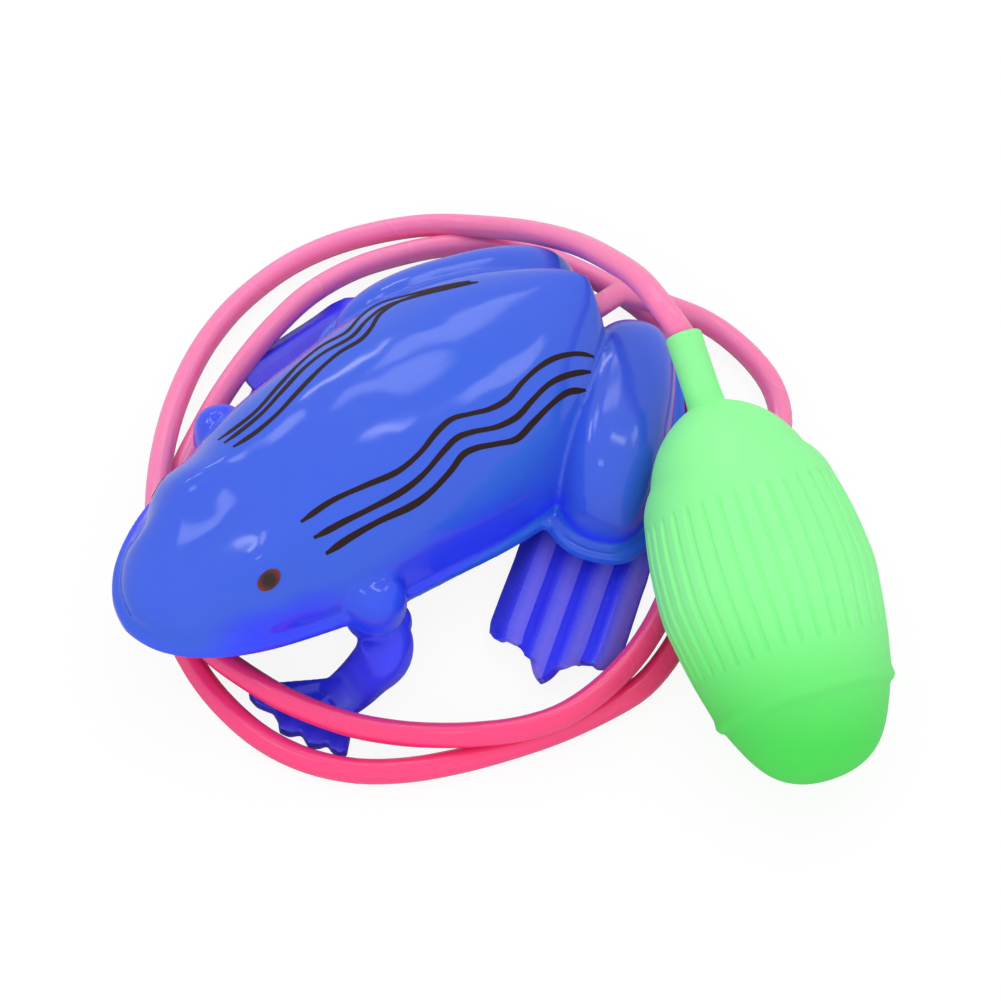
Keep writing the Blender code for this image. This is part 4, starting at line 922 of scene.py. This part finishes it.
class FROG_OT_skin(bpy.types.Operator):
    """Cast the frog's hollow skin with its lip, humps and eyes"""

    bl_idname = "frog.skin"
    bl_label = "Body skin"

    def execute(self, context):
        settings = context.scene.frog_skin
        outer = self.forms(0.0, True, BODY_DETAIL, LOBE_DETAIL)
        skin = cast(outer + [inlet_rod(INLET_BOSS_RADIUS, 0.0)], settings.voxel, 5)
        self.model_head(skin)
        inner = self.forms(WALL, False, HOLLOW_BODY_DETAIL, HOLLOW_LOBE_DETAIL)
        hollow = cast(inner, settings.voxel * 2, 2)
        bore = inlet_rod(INLET_BORE_RADIUS, WALL)
        size = (BODY_LENGTH, 2 * BODY_LENGTH, BODY_HEIGHT)
        trim = add_box(size, Matrix.Translation((0, 0, -BODY_HEIGHT / 2)))
        carve(skin, [hollow, bore, trim])
        settle(skin, FROG)
        smooth_by_angle(skin, 42.0)
        plastic = self.plastic(settings)
        finish_piece(skin, "body_skin", "frog", plastic)
        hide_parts("body_shell")
        self.add_bosses(plastic)
        return {"FINISHED"}

    def forms(self, inset, lips, body_detail, lobe_detail):
        """The body and its humps, each with its lip where lips are wanted."""
        shapes = [(body_shape(inset, 0.0), body_detail)]
        if lips:
            shapes.append((body_shape(inset, LIP_WIDTH), body_detail))
        for place, turn, size, lip, stretch in skin_lobes():
            shapes.append((lobe_shape(place, turn, size, inset, 0.0, stretch), lobe_detail))
            if lips and lip:
                shapes.append((lobe_shape(place, turn, size, inset, lip, stretch), lobe_detail))
        return [shaped_ball(shape, *detail) for shape, detail in shapes]

    def model_head(self, skin):
        """Raise the brows and the eyes, and sink the hollows between and before them."""
        normals = [vertex.normal.copy() for vertex in skin.data.vertices]
        for vertex, normal in zip(skin.data.vertices, normals):
            x, y, z = vertex.co
            if z < LIP_HEIGHT:
                continue
            fade_in = ease((z - LIP_HEIGHT) / (2 * LIP_HEIGHT))
            for form_x, form_y, reach_x, reach_y, lift in HEAD_FORMS:
                away = ((abs(x) - form_x) / reach_x) ** 2 + ((y - form_y) / reach_y) ** 2
                vertex.co.z += lift * fade_in * math.exp(-away)
            for form_x, form_y, form_z, reach, push in CHEEK_FORMS:
                away = Vector((abs(x) - form_x, y - form_y, z - form_z)).length / reach
                vertex.co += normal * (push * fade_in * math.exp(-(away**2)))

    def add_bosses(self, material):
        """The round bosses that the front legs' pegs turn in."""
        for side, sign in SIDES:
            place = LEVEL @ Matrix.Translation((sign * SHOULDER_X, SHOULDER_Y, 0))
            boss = add_rod(ARM_BOSS_RADIUS, ARM_BOSS_BOTTOM, ARM_BOSS_BOTTOM + ARM_BOSS_HEIGHT, place)
            bore = add_rod(ARM_PEG_RADIUS + PEG_GAP, ARM_BOSS_BOTTOM - WALL, ARM_PEG_TOP + WALL / 4, place)
            carve(boss, [bore])
            smooth_by_angle(boss)
            finish_piece(boss, f"shoulder_boss_{side}", "frog", material)

    def plastic(self, settings):
        """The skin's plastic, with painted shade: more violet low on the flanks, between the legs and before
        the eyes.
        """
        up = FROG.to_3x3() @ Vector(VIOLET_SHADE_AXIS)
        layers = [fade(settings.edge, up, FROG.translation, *VIOLET_SHADE_SPAN)]
        for _, sign in SIDES:
            for centre, reach in VIOLET_SHADE_SPOTS:
                spot = Vector((sign * centre[0], *centre[1:]))
                layers.append(("spot", settings.edge, FROG @ spot, reach))
        layers.append(fade(settings.colour, up, FROG.translation, *LIP_SPAN))
        return moulded("blue_polystyrene_moulded", settings.colour, settings.shade, layers)


def pixel_ray(pixel):
    """Start and direction of the photograph's line of sight through a pixel."""
    camera = bpy.context.scene.camera
    x = (pixel[0] - IMAGE_SIDE / 2) / CAMERA_FOCAL_PIXELS
    y = (IMAGE_SIDE / 2 - pixel[1]) / CAMERA_FOCAL_PIXELS
    turn = camera.matrix_world.to_3x3()
    return camera.matrix_world.translation, (turn @ Vector((x, y, -1.0))).normalized()


def skin_and_tree(context):
    """The body skin, and the tree that finds where a line of sight meets it."""
    context.view_layer.update()
    skin = bpy.data.objects["body_skin"]
    return skin, BVHTree.FromObject(skin, context.evaluated_depsgraph_get())


class FROG_OT_glints(bpy.types.Operator):
    """Hang small lamps whose reflections fall on the skin where the photograph shows them"""

    bl_idname = "frog.glints"
    bl_label = "Glint lamps"

    def execute(self, context):
        power = context.scene.frog_stage.glint_power
        _, tree = skin_and_tree(context)
        for number, (x, y, width, height) in enumerate(GLINTS, 1):
            normal = Vector()
            for aside, down in GLINT_SAMPLES:
                hit, facing, _, _ = tree.ray_cast(*pixel_ray((x + aside, y + down)))
                if hit is None:
                    raise RuntimeError(f"glint {number} misses the skin")
                normal += facing
            start, sight = pixel_ray((x, y))
            hit = tree.ray_cast(start, sight)[0]
            place = hit + sight.reflect(normal.normalized()) * GLINT_DISTANCE
            add_panel(f"glint_lamp_{number}", place, hit, width, height, power)
        return {"FINISHED"}


class FROG_OT_paint(bpy.types.Operator):
    """Paint three wavy stripes on each side and the two eyes"""

    bl_idname = "frog.paint"
    bl_label = "Stripes and eyes"

    def execute(self, context):
        settings = context.scene.frog_skin
        skin, tree = skin_and_tree(context)
        ink = moulded("brown_ink_brushed", settings.ink, "#2E1214")
        for side, lines in STRIPE_PIXELS.items():
            for number, pixels in enumerate(lines, 1):
                hits = [tree.ray_cast(*pixel_ray(pixel))[0] for pixel in pixels]
                if None in hits:
                    raise RuntimeError(f"stripe {number} on the {side} runs off the skin")
                finish_piece(self.stripe(hits, skin), f"stripe_{side}_{number}", "frog", ink)
        near_eye = tree.ray_cast(*pixel_ray(EYE_PIXEL))[0]
        far_eye = tree.find_nearest(FROG @ Vector(FAR_EYE))[0]
        spots = (near_eye, far_eye)
        pupils = [("spot", "#1C0806", spot, [EYE_PUPIL_REACH] * 3) for spot in spots]
        enamel = moulded("red_brown_enamel_dabbed", settings.eye, "#5A1812", pupils)
        for (side, sign), spot in zip(SIDES, spots):
            finish_piece(self.eye(tree, spot, sign), f"eye_{side}", "frog", enamel)
        return {"FINISHED"}

    def stripe(self, line, skin):
        """A thin band of ink pressed on the skin along a line, drawn out at both ends."""
        middle, _ = smooth_line(line, STRIPE_WIDTH / 2)
        steps = len(middle) - 1
        tip = STRIPE_TIP_SHARE

        def shape(x, y):
            index = round((y + 0.5) * steps)
            ahead = middle[min(index + 1, steps)] - middle[max(index - 1, 0)]
            aside = Vector((ahead.y, -ahead.x, 0)).normalized()
            end = min(index, steps - index) * STRIPE_WIDTH / 2
            width = STRIPE_WIDTH * (tip + (1 - tip) * ease(end / (3 * STRIPE_WIDTH)))
            width *= 1 + STRIPE_WOBBLE * math.sin(index * STRIPE_WOBBLE_TURN)
            return middle[index] + aside * x * width + Vector((0, 0, BODY_HEIGHT))

        band = shaped_grid(shape, 6, steps)
        down = {"use_project_z": True, "use_negative_direction": True, "use_positive_direction": False}
        modify(band, "SHRINKWRAP", wrap_method="PROJECT", target=skin, offset=STRIPE_PAINT, **down)
        modify(band, "SOLIDIFY", thickness=2 * STRIPE_PAINT, offset=-1.0)
        apply_modifiers(band)
        mend(band)
        smooth_by_angle(band, 60.0)
        return band

    def eye(self, tree, spot, sign):
        """An oval drop of paint with a raised middle on the side of the eye's bulge."""
        normal = tree.find_nearest(spot)[1]
        forward = Vector((EYE_TOE_OUT * sign, -1.0, 0.0))
        along = (forward - normal * forward.dot(normal)).normalized()
        axes = Matrix((along, normal.cross(along), normal)).transposed().to_4x4()
        size = Matrix.Diagonal((*EYE_PAINT_HALF, 4 * STRIPE_PAINT, 1.0))
        deselect()
        bpy.ops.mesh.primitive_uv_sphere_add(segments=40, ring_count=20, radius=1.0)
        paint = settle(bpy.context.active_object, Matrix.Translation(spot) @ axes @ size)
        mend(paint)
        smooth_by_angle(paint, 60.0)
        return paint


def hand_outline():
    """The webbed hand in plan, as (angle, reach): rounded toes with a scallop between each pair."""
    half_turn = HAND_TOE_HALF_TURN
    points = [(HAND_TOES[0][0] - half_turn, HAND_HEEL_SHARE)]
    for index, (angle, share) in enumerate(HAND_TOES):
        side_share = share * HAND_TOE_SIDE_SHARE
        points += [(angle - half_turn, side_share), (angle, share), (angle + half_turn, side_share)]
        if index + 1 < len(HAND_TOES):
            after, after_share = HAND_TOES[index + 1]
            points.append(((angle + after) / 2, (share + after_share) / 2 * HAND_WEB_SHARE))
    points.append((HAND_TOES[-1][0] + half_turn, HAND_HEEL_SHARE))
    return [(math.radians(angle), HAND_LENGTH * share) for angle, share in points]


class FROG_OT_front_legs(bpy.types.Operator):
    """Cast the two front legs with their pegs and webbed hands"""

    bl_idname = "frog.front_legs"
    bl_label = "Front legs"

    def execute(self, context):
        settings = context.scene.frog_legs
        plastic = moulded("blue_polyethylene_moulded", settings.colour, LEG_SECOND_COLOUR)
        for side, sign in SIDES:
            limb = cast([self.limb(), self.sleeve(), self.hand(settings)], settings.voxel, 4)
            bottom, top = ARM_DISC_SPAN
            disc = add_rod(ARM_DISC_RADIUS, bottom, top, Matrix())
            peg = add_rod(ARM_PEG_RADIUS, top - bottom / 10, ARM_PEG_TOP, Matrix())
            carve(limb, [disc, peg], "UNION")
            sole = add_box([8 * ARM_REACH] * 3, Matrix.Translation((0, 0, -4 * ARM_REACH)))
            carve(limb, [sole])
            turn = Matrix.Rotation(ARM_REST_TURNS[side], 4, "Z")
            flip = Matrix.Diagonal((sign, 1.0, 1.0, 1.0))
            place = Matrix.Translation((sign * SHOULDER_X, SHOULDER_Y, 0))
            settle(limb, LEVEL @ place @ turn @ flip)
            mend(limb)
            smooth_by_angle(limb)
            finish_piece(limb, f"front_leg_skin_{side}", f"arm_{side}", plastic)
            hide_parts(f"front_leg_{side}")
        return {"FINISHED"}

    def sleeve(self):
        """The top of the arm, as wide as the shoulder that it turns under."""
        shape = lobe_shape((0, 0), SHOULDER_TURN, ARM_SLEEVE_SIZE, 0.0, 0.0)
        rise = ARM_DISC_SPAN[1] - ARM_SLEEVE_SIZE[2]
        return settle(shaped_ball(shape, 48, 32), Matrix.Translation((0, 0, rise)))

    def limb(self):
        """A squarish arm from the disc over the elbow to the hand."""
        rows = []
        columns = list(zip(*ARM_PATH_SHARES))
        for step in range(ARM_STEPS + 1):
            place = step / ARM_STEPS
            outward, forward, up, wide, deep = (share_at(column, place) for column in columns)
            centre = Vector((outward * ARM_REACH, -forward * ARM_REACH, up * ARM_RISE))
            rows.append((centre, wide * ARM_WIDTH / 2, deep * ARM_WIDTH / 2))

        def shape(x, y):
            row = round((y + 0.5) * ARM_STEPS)
            angle = math.tau * (x + 0.5)
            centre, half_width, half_depth = rows[row]
            tangent = (rows[min(row + 1, ARM_STEPS)][0] - rows[max(row - 1, 0)][0]).normalized()
            across = Vector((1, 0, 0))
            across = (across - tangent * across.dot(tangent)).normalized()
            out = rounded(math.cos(angle), ARM_ROUNDNESS) * half_width
            rise = rounded(math.sin(angle), ARM_ROUNDNESS) * half_depth
            return centre + across * out + tangent.cross(across) * rise

        return mend(shaped_grid(shape, 32, ARM_STEPS), weld=0.00001, fill=True)

    def hand(self, settings):
        """A thin fan with a rib along each toe, thicker towards the wrist."""
        outline = hand_outline()
        first, last = outline[0][0], outline[-1][0]
        toe_turn = math.radians(HAND_TOE_HALF_TURN)

        def shape(x, y):
            angle = first + (last - first) * (x + 0.5)
            out = y + 0.5
            reach = share_between(outline, angle) * out
            ribs = [math.exp(-(((angle - math.radians(toe)) / toe_turn) ** 2)) for toe, _ in HAND_TOES]
            top = HAND_THICKNESS - settings.rib * (1 - max(ribs)) * ease(out * HAND_RIB_RISE - HAND_RIB_DELAY)
            x, y = HAND_PLACE
            return Vector((x + reach * math.sin(angle), y - reach * math.cos(angle), top))

        return mend(shaped_grid(shape, 90, 24), weld=0.00001, thicken=2 * HAND_THICKNESS)


class FROG_OT_hind_legs(bpy.types.Operator):
    """Mould the two flat hind legs with their pleated webs"""

    bl_idname = "frog.hind_legs"
    bl_label = "Hind legs"

    def execute(self, context):
        settings = context.scene.frog_legs
        # Painted light: a lighter colour on one face of each pleat
        pleat_painted_light = [("attribute", settings.shade, "pleat")]
        plastic = moulded("blue_polyethylene_webbed", settings.colour, LEG_SECOND_COLOUR, pleat_painted_light)
        for side, sign in SIDES:
            foot = self.foot()
            place = Matrix.Translation((sign * HIP_PLACE[0], HIP_PLACE[1], 0))
            settle(foot, LEVEL @ place @ Matrix.Rotation(FOOT_TURNS[side], 4, "Z"))
            mend(foot)
            smooth_by_angle(foot, 28.0)
            finish_piece(foot, f"hind_leg_skin_{side}", "kicker", plastic)
            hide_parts(f"hind_leg_{side}")
        return {"FINISHED"}

    def foot(self):
        """A plate that rises into four pleats and ends in three rounded toes."""
        first, last = FOOT_WIDTH_SHARES[0][0], FOOT_WIDTH_SHARES[-1][0]
        (rise, rise_run), (fall, fall_run) = PLEAT_PAINTED_LIGHT_RISE, PLEAT_PAINTED_LIGHT_FALL
        painted_light_shares = []

        def shape(x, y):
            across = 2 * x
            row = first + (last - first) * (y + 0.5)
            edge = share_at(FOOT_EDGE_SHARES, (across + 1) / 2)
            reach = row * edge if row > 0 else row * (1 - HEEL_ROUND * across**2)
            pleated = ease((row - PLEAT_START_SHARE) / PLEAT_RUN_SHARE)
            column = (across + 1) * PLEATS % 2
            ridge = PLEAT_HEIGHT * (1 - abs(column - 1))
            # Painted light: the share of the lighter colour, on one face of each pleat
            light = ease((column - rise) / rise_run) * (1 - ease((column - fall) / fall_run))
            painted_light_shares.append(light * pleated)
            low = LEG_PLATE_BOTTOM * (1 - pleated) + ridge * pleated
            out = across * FOOT_HALF_WIDTH * share_between(FOOT_WIDTH_SHARES, row)
            return Vector((out, -reach * FOOT_LENGTH, low + LEG_THICKNESS))

        foot = shaped_grid(shape, 64, 72)
        foot.data.attributes.new("pleat", "FLOAT", "POINT").data.foreach_set("value", painted_light_shares)
        modify(foot, "SOLIDIFY", thickness=LEG_THICKNESS, offset=-1.0)
        corner = math.radians(50)
        modify(foot, "BEVEL", width=LEG_THICKNESS / 6, segments=2, limit_method="ANGLE", angle_limit=corner)
        apply_modifiers(foot)
        return foot


class FROG_OT_bulb(bpy.types.Operator):
    """Turn the fluted squeeze bulb with its ridge, step and open neck"""

    bl_idname = "frog.bulb"
    bl_label = "Squeeze bulb"

    def execute(self, context):
        settings = context.scene.frog_bulb
        bulb = self.turned(settings)
        matrix = bulb_matrix()
        settle(bulb, matrix)
        mend(bulb)
        smooth_by_angle(bulb, 50.0)
        # Painted shade: a deeper green towards the bulb's lower, round end
        deep = fade(settings.low, BULB_SHADE_AXIS, TOY, *BULB_SHADE_SPAN)
        vinyl = moulded("green_pvc_moulded", settings.colour, settings.shade, [deep])
        finish_piece(bulb, "squeeze_bulb_skin", "frog", vinyl)
        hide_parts("squeeze_bulb")
        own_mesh(bulb)
        return {"FINISHED"}

    def turned(self, settings):
        """A rolled grid with a row for each point of the profile, from inside the mouth to the round end."""
        rows = [Vector((radius * BULB_RADIUS, bulb_point(share), 0)) for share, radius in BULB_PROFILE_SHARES]
        line, _ = smooth_line(rows, BULB_STEP)
        line[-1].x = 0.0
        bore, (rim, top, _) = HOSE_RADIUS + MOUTH_GAP, line[0]
        mouth = (
            (bore, top - BULB_MOUTH_DEPTH),
            (bore, top - MOUTH_ROUND),
            (bore + MOUTH_ROUND, top),
            (rim - MOUTH_ROUND, top),
            (rim, top - MOUTH_ROUND),
        )
        line = [Vector((radius, along, 0)) for radius, along in mouth] + line[1:]
        last = len(line) - 1
        low, high = FLUTE_SPAN
        flutes, depth = settings.flutes, settings.flute_depth
        pitch = math.tau * BULB_RADIUS / flutes

        def shape(x, y):
            point = line[round((y + 0.5) * last)]
            angle = math.tau * (x + 0.5)
            aside = abs(angle * flutes / math.tau % 1.0 - 0.5) * 2
            past = max(low - point.y, point.y - high, 0.0) / (pitch / 2)
            cut = 1 - ease((math.hypot(aside, past) - FLUTE_FLAT) / FLUTE_SLOPE)
            radius = point.x - depth * cut
            return Vector((radius * math.cos(angle), radius * math.sin(angle), point.y))

        return mend(shaped_grid(shape, FLUTE_COLUMNS * flutes, last), weld=0.000002, fill=True)


class FROG_OT_works(bpy.types.Operator):
    """Give the working parts underneath their finishes and copy the air bladder as soft film"""

    bl_idname = "frog.works"
    bl_label = "Working parts"

    def execute(self, context):
        belly = moulded("blue_belly_spark_textured", "#2F49CC", "#2A42BE")
        nylon = moulded("natural_nylon_moulded", "#D9D8D0", "#CFCDC2")
        steel = moulded("zinc_plated_steel_drawn", "#B9BBBF", "#A6A8AC")
        rubber = moulded("black_rubber_pressed", "#171717", "#262626")
        finishes = {
            "belly_plate": belly,
            "kick_plate": belly,
            "leg_rivet_left": nylon,
            "leg_rivet_right": nylon,
            "inlet_elbow": nylon,
            "bladder_collar": nylon,
            "inlet_grommet": rubber,
            "hinge_pin": steel,
        }
        for end in ("front", "rear"):
            for side, _ in SIDES:
                finishes[f"belly_screw_{end}_{side}"] = steel
        for node, material in finishes.items():
            dress(frame["nodes"][node].data, material)
        self.fold_bladder()
        return {"FINISHED"}

    def fold_bladder(self):
        """A bellows of soft film between the belly plate and the kick plate."""
        source = frame["nodes"]["air_bladder"]
        sac = source.copy()
        sac.data = source.data.copy()
        for key in list(sac.keys()):
            del sac[key]
        sac.parent = None
        bpy.context.scene.collection.objects.link(sac)
        sac.name = "air_bladder_film"
        mend(sac, weld=0.00001, outwards=False)
        smooth_by_angle(sac, 30.0)
        dress(sac.data, moulded("cloudy_vinyl_film_welded", "#D5DADF", "#C2C9D0"))
        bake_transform(sac)
        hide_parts("air_bladder")


class FROG_PT_pieces(bpy.types.Panel):
    """Lists the toy's pieces with their sizes and colours"""

    bl_label = "Jumping frog"
    bl_idname = "FROG_PT_pieces"
    bl_space_type = "VIEW_3D"
    bl_region_type = "UI"
    bl_category = "Frog"

    def draw(self, context):
        layout = self.layout
        for operator, group in PIECES:
            layout.operator(operator.bl_idname)
            if group:
                settings = getattr(context.scene, group)
                for name in settings.__annotations__:
                    layout.prop(settings, name)


# Each operator, and the settings that the panel lists under it
PIECES = (
    (FROG_OT_stage, "frog_stage"),
    (FROG_OT_hose, "frog_hose"),
    (FROG_OT_skin, "frog_skin"),
    (FROG_OT_glints, None),
    (FROG_OT_paint, None),
    (FROG_OT_front_legs, "frog_legs"),
    (FROG_OT_hind_legs, None),
    (FROG_OT_bulb, "frog_bulb"),
    (FROG_OT_works, None),
)
SETTINGS = {
    "frog_stage": FrogStageSettings,
    "frog_hose": FrogHoseSettings,
    "frog_skin": FrogSkinSettings,
    "frog_legs": FrogLegSettings,
    "frog_bulb": FrogBulbSettings,
}


def register():
    for name, group in SETTINGS.items():
        bpy.utils.register_class(group)
        setattr(bpy.types.Scene, name, PointerProperty(type=group))
    for operator, _ in PIECES:
        bpy.utils.register_class(operator)
    bpy.utils.register_class(FROG_PT_pieces)


def unregister():
    bpy.utils.unregister_class(FROG_PT_pieces)
    for operator, _ in reversed(PIECES):
        bpy.utils.unregister_class(operator)
    for name, group in SETTINGS.items():
        delattr(bpy.types.Scene, name)
        bpy.utils.unregister_class(group)


def main():
    register()
    bpy.ops.frog.stage()
    bpy.ops.frog.hose()
    bpy.ops.frog.skin()
    bpy.ops.frog.glints()
    bpy.ops.frog.paint()
    bpy.ops.frog.front_legs()
    bpy.ops.frog.hind_legs()
    bpy.ops.frog.bulb()
    bpy.ops.frog.works()


if __name__ == "__main__":
    main()
